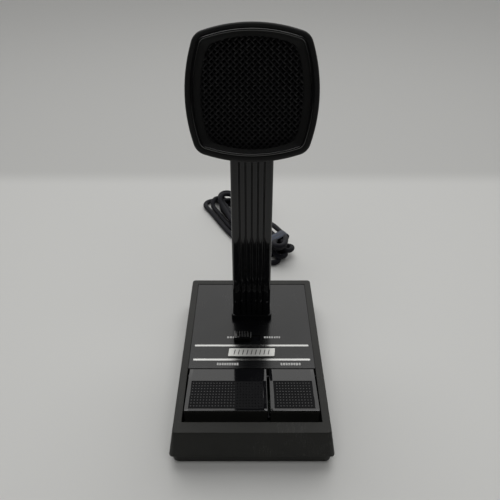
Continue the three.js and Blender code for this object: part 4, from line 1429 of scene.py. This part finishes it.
class MICROPHONE_OT_rear_shell(bpy.types.Operator):
    """Make the rounded rear shell of the head, with its screw pockets and the way in for the column"""

    bl_idname = "microphone.rear_shell"
    bl_label = "Rear shell"

    def execute(self, context):
        tilt = math.radians(HEAD_TILT)

        def wall(back):
            return lambda z: (back - HEAD_CENTRE.y) / math.cos(tilt) - z * math.tan(tilt)

        def rounding(half, back):
            rings = []
            for i in range(9):
                turn = math.radians(i * 90 / 8)
                set_in = REAR_ROUND * (1 - math.sin(turn)) * math.cos(tilt)
                rings.append(face_ring(half, wall(back - set_in), REAR_ROUND * math.cos(turn)))
            return rings

        half = FACE_HALF - REAR_INSET - REAR_ROUND
        outer = [face_ring(half, REAR_FRONT + 0.3, REAR_ROUND), *rounding(half, HEAD_BACK)]
        outer.insert(0, face_ring(half, REAR_FRONT, REAR_ROUND - 0.3))
        inner = [face_ring(half - REAR_WALL, REAR_FRONT, REAR_ROUND)]
        inner += rounding(half - REAR_WALL, HEAD_BACK - REAR_WALL)
        shell = loft(list(reversed(inner)) + outer)
        shell = place(shell, HEAD)
        for x in (-BOSS_AT, BOSS_AT):
            for z in (-BOSS_AT, BOSS_AT):
                back = wall(HEAD_BACK)(z)
                stand = HEAD @ Matrix.Translation((x, 0, z)) @ Matrix.Rotation(math.radians(-90), 4, "X")
                depth = back - REAR_WALL + 0.8 - (2.8 if z > 0 else 0.6)
                shell = carve(shell, place(rod(BOSS_RADIUS, BOSS_FRONT, depth), stand), "UNION")
                shell = carve(shell, place(rod(POCKET_RADIUS, POCKET_FRONT, 90), stand))
        shell = carve(shell, loft([column_ring(z, 0.3, 6) for z in (150, 206)]))
        make_piece("head_back", shell, head_plastic(), "base", ["head_rear_shell"], 40)
        return {"FINISHED"}


# ---------------------------------------------------------------- screws and inner pieces


def screw_mesh(head, head_height, shank, length):
    """A round-headed screw that points along +Z, with a cross recess in its head."""
    arm, width = head * 0.62, head * 0.17

    def cross(angle):
        c, s = abs(math.cos(angle)) + 1e-6, abs(math.sin(angle)) + 1e-6
        return max(min(arm / c, width / s), min(width / c, arm / s)) / arm

    count = 48
    rings = [
        circle(arm * 0.5, -head_height * 0.25, count, cross),
        circle(arm, -head_height, count, cross),
        circle(head * 0.74, -head_height, count),
        circle(head * 0.9, -head_height * 0.82, count),
        circle(head, -head_height * 0.45, count),
        circle(head, 0, count),
        circle(shank, 0, count),
        circle(shank, length - shank, count),
        circle(0.1, length, count),
    ]
    return loft(rings)


class MICROPHONE_OT_screws(bpy.types.Operator):
    """Make every screw with its cross recess, where the part has it"""

    bl_idname = "microphone.screws"
    bl_label = "Screws"

    def execute(self, context):
        up = Matrix.Identity(4)
        down = Matrix.Rotation(math.pi, 4, "X")
        forward = Matrix.Rotation(math.pi / 2, 4, "X")
        # each screw's node, its head's radius and height, its shank's radius and length, and its turn
        sets = []
        for end in ("front", "rear"):
            for side in ("left", "right"):
                sets.append((f"base_screw_{end}_{side}", (3, 0.9, 1.4, 9), up))
        sets += [(f"board_screw_{i}", (2.6, 1.4, 1.2, 5.5), down) for i in (1, 2)]
        for side in ("left", "right"):
            sets.append((f"bracket_screw_{side}", (2.8, 1.6, 1.4, 4.6), up))
            sets.append((f"stem_screw_{side}", (2.6, 1.5, 1.3, 6.5), forward))
            sets.append((f"head_screw_{side}", (2.8, 1.5, 1.3, 10.5), forward))
        lean = Matrix.Rotation(math.radians(-HEAD_TILT), 4, "X")
        sets += [(f"bezel_screw_{i}", (3, 1.8, 1.1, 14), lean @ forward) for i in (1, 2, 3, 4)]
        for node, (head, head_height, shank, length), turn in sets:
            low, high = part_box(node)
            middle = (low + high) / 2 / MM
            half_way = Vector((0, 0, (length - head_height) / 2))
            screw = screw_mesh(head, head_height, shank, length)
            where = Matrix.Translation(self.head_place(node, middle, turn, half_way, head)) @ turn
            make_piece(f"{node}_cross", place(screw, where), black_screw(), "base", [node], 30)
        return {"FINISHED"}

    def head_place(self, node, middle, turn, half_way, head):
        """The underside of the screw's head: half the screw's length back from the middle of its box."""
        if node.startswith("bezel"):
            number = int(node[-1])
            x = -BOSS_AT if number < 3 else BOSS_AT
            z = -BOSS_AT if number % 2 else BOSS_AT
            return HEAD @ Vector((x, BEZEL_SCREW_DEPTH, z))
        return middle - turn @ half_way


class MICROPHONE_OT_inner_pieces(bpy.types.Operator):
    """Give the pieces inside the base and the head their finishes"""

    bl_idname = "microphone.inner_pieces"
    bl_label = "Inner pieces"

    def execute(self, context):
        dress(black_screw(), "bar_axle")
        dress(steel(), "ballast_weight", "stem_bracket", "head_bracket", "capsule")
        dress(steel(), "transmit_plunger", "monitor_plunger")
        dress(inner_plastic(), "transmit_switch", "monitor_switch", "lock_switch")
        dress(inner_plastic(), "board_connector", "board_capacitor", "capsule_baffle")
        dress(rubber(), "capsule_ring")
        dress(board_lacquer(), "circuit_board")
        dress(cord_sheath(), "head_lead", "cord_inside")
        return {"FINISHED"}


# ---------------------------------------------------------------- stage


class MICROPHONE_OT_stage(bpy.types.Operator):
    """Lay the pale floor, with a painted shadow that darkens it towards the front, and set the soft light"""

    bl_idname = "microphone.stage"
    bl_label = "Stage"

    def execute(self, context):
        self.floor(context.scene.microphone_colours.floor)
        self.surround(context.scene)
        self.lamp("overhead", (-0.02, 0.55, 1.25), -24, 5.4, True)
        self.lamp("fill", (0.05, -0.5, 1.15), 22, 4.8, False)
        context.scene.view_settings.view_transform = "Standard"
        return {"FINISHED"}

    def lamp(self, name, location, lean, power, mirrored):
        """A large soft lamp that leans towards the part; it may be left out of mirror reflections."""
        light = bpy.data.lights.new(name, "AREA")
        light.shape = "RECTANGLE"
        light.size, light.size_y = LAMP_SIZE
        light.energy = power
        lamp = add_object(name, light)
        lamp.location = location
        lamp.rotation_euler = (math.radians(lean), 0, 0)
        lamp.visible_glossy = mirrored

    def floor(self, colour):
        bm = bmesh.new()
        bmesh.ops.create_grid(bm, x_segments=2, y_segments=2, size=FLOOR_HALF)
        mesh = store_mesh("floor", bm)
        material = bpy.data.materials.new("pale_floor")
        material.use_nodes = True
        tree = material.node_tree
        shader = tree.nodes["Principled BSDF"]
        shader.inputs["Roughness"].default_value = 0.6
        split = tree.nodes.new("ShaderNodeSeparateXYZ")
        tree.links.new(tree.nodes.new("ShaderNodeTexCoord").outputs["Object"], split.inputs["Vector"])
        # painted shadow: the floor's colour darkens towards the front, standing in for shade that the
        # polished column mirrors
        near = ramp(tree, split.outputs["Y"], *PAINTED_SHADE_EDGE)
        tone = blend_colour(tree, near, tuple(colour), tuple(c * PAINTED_SHADE_TONE for c in colour))
        far = ramp(tree, split.outputs["Y"], *BACKDROP_EDGE)
        tone = blend_colour(tree, far, tone, tuple(c * BACKDROP_TONE for c in colour))
        tree.links.new(tone, shader.inputs["Base Color"])
        mesh.materials.append(material)
        add_object("floor", mesh)

    def surround(self, scene):
        """Soft light, strongest from behind and faint from the front. The camera sees plain grey instead."""
        world = bpy.data.worlds.new("surround")
        scene.world = world
        world.use_nodes = True
        tree = world.node_tree
        tree.nodes.clear()
        towards = tree.nodes.new("ShaderNodeVectorMath")
        towards.operation = "DOT_PRODUCT"
        towards.inputs[1].default_value = BRIGHT_WAY
        tree.links.new(tree.nodes.new("ShaderNodeTexCoord").outputs["Generated"], towards.inputs[0])
        lit, plain = tree.nodes.new("ShaderNodeBackground"), tree.nodes.new("ShaderNodeBackground")
        lit.inputs["Color"].default_value = (1, 0.995, 0.98, 1)
        level = ramp(tree, towards.outputs["Value"], *BRIGHT_SPREAD, *SURROUND_LEVELS)
        tree.links.new(level, lit.inputs["Strength"])
        plain.inputs["Color"].default_value = (0.5, 0.5, 0.49, 1)
        mix = tree.nodes.new("ShaderNodeMixShader")
        tree.links.new(tree.nodes.new("ShaderNodeLightPath").outputs["Is Camera Ray"], mix.inputs["Fac"])
        tree.links.new(lit.outputs["Background"], mix.inputs[1])
        tree.links.new(plain.outputs["Background"], mix.inputs[2])
        tree.links.new(mix.outputs["Shader"], tree.nodes.new("ShaderNodeOutputWorld").inputs["Surface"])


# ---------------------------------------------------------------- panel, registration, run

STEPS = (
    MICROPHONE_OT_camera,
    MICROPHONE_OT_strain_relief,
    MICROPHONE_OT_plug,
    MICROPHONE_OT_cord,
    MICROPHONE_OT_base_shell,
    MICROPHONE_OT_bottom_tray,
    MICROPHONE_OT_panel,
    MICROPHONE_OT_badge,
    MICROPHONE_OT_lock_slider,
    MICROPHONE_OT_press_bars,
    MICROPHONE_OT_springs,
    MICROPHONE_OT_column,
    MICROPHONE_OT_bezel,
    MICROPHONE_OT_grille,
    MICROPHONE_OT_foam,
    MICROPHONE_OT_rear_shell,
    MICROPHONE_OT_screws,
    MICROPHONE_OT_inner_pieces,
    MICROPHONE_OT_stage,
)


class MICROPHONE_PT_build(bpy.types.Panel):
    """Lists the pieces and the stage"""

    bl_label = "Desk microphone"
    bl_space_type = "VIEW_3D"
    bl_region_type = "UI"
    bl_category = "Microphone"

    def draw(self, context):
        for group in (context.scene.microphone_sizes, context.scene.microphone_colours):
            for name in group.__annotations__:
                self.layout.prop(group, name)
        for step in STEPS:
            self.layout.operator(step.bl_idname)


CLASSES = (MicrophoneSizes, MicrophoneColours, *STEPS, MICROPHONE_PT_build)


def register():
    for made in CLASSES:
        bpy.utils.register_class(made)
    bpy.types.Scene.microphone_sizes = bpy.props.PointerProperty(type=MicrophoneSizes)
    bpy.types.Scene.microphone_colours = bpy.props.PointerProperty(type=MicrophoneColours)


def unregister():
    del bpy.types.Scene.microphone_colours
    del bpy.types.Scene.microphone_sizes
    for made in reversed(CLASSES):
        bpy.utils.unregister_class(made)


def main():
    register()
    for step in STEPS:
        group, name = step.bl_idname.split(".")
        getattr(getattr(bpy.ops, group), name)()


if __name__ == "__main__":
    main()
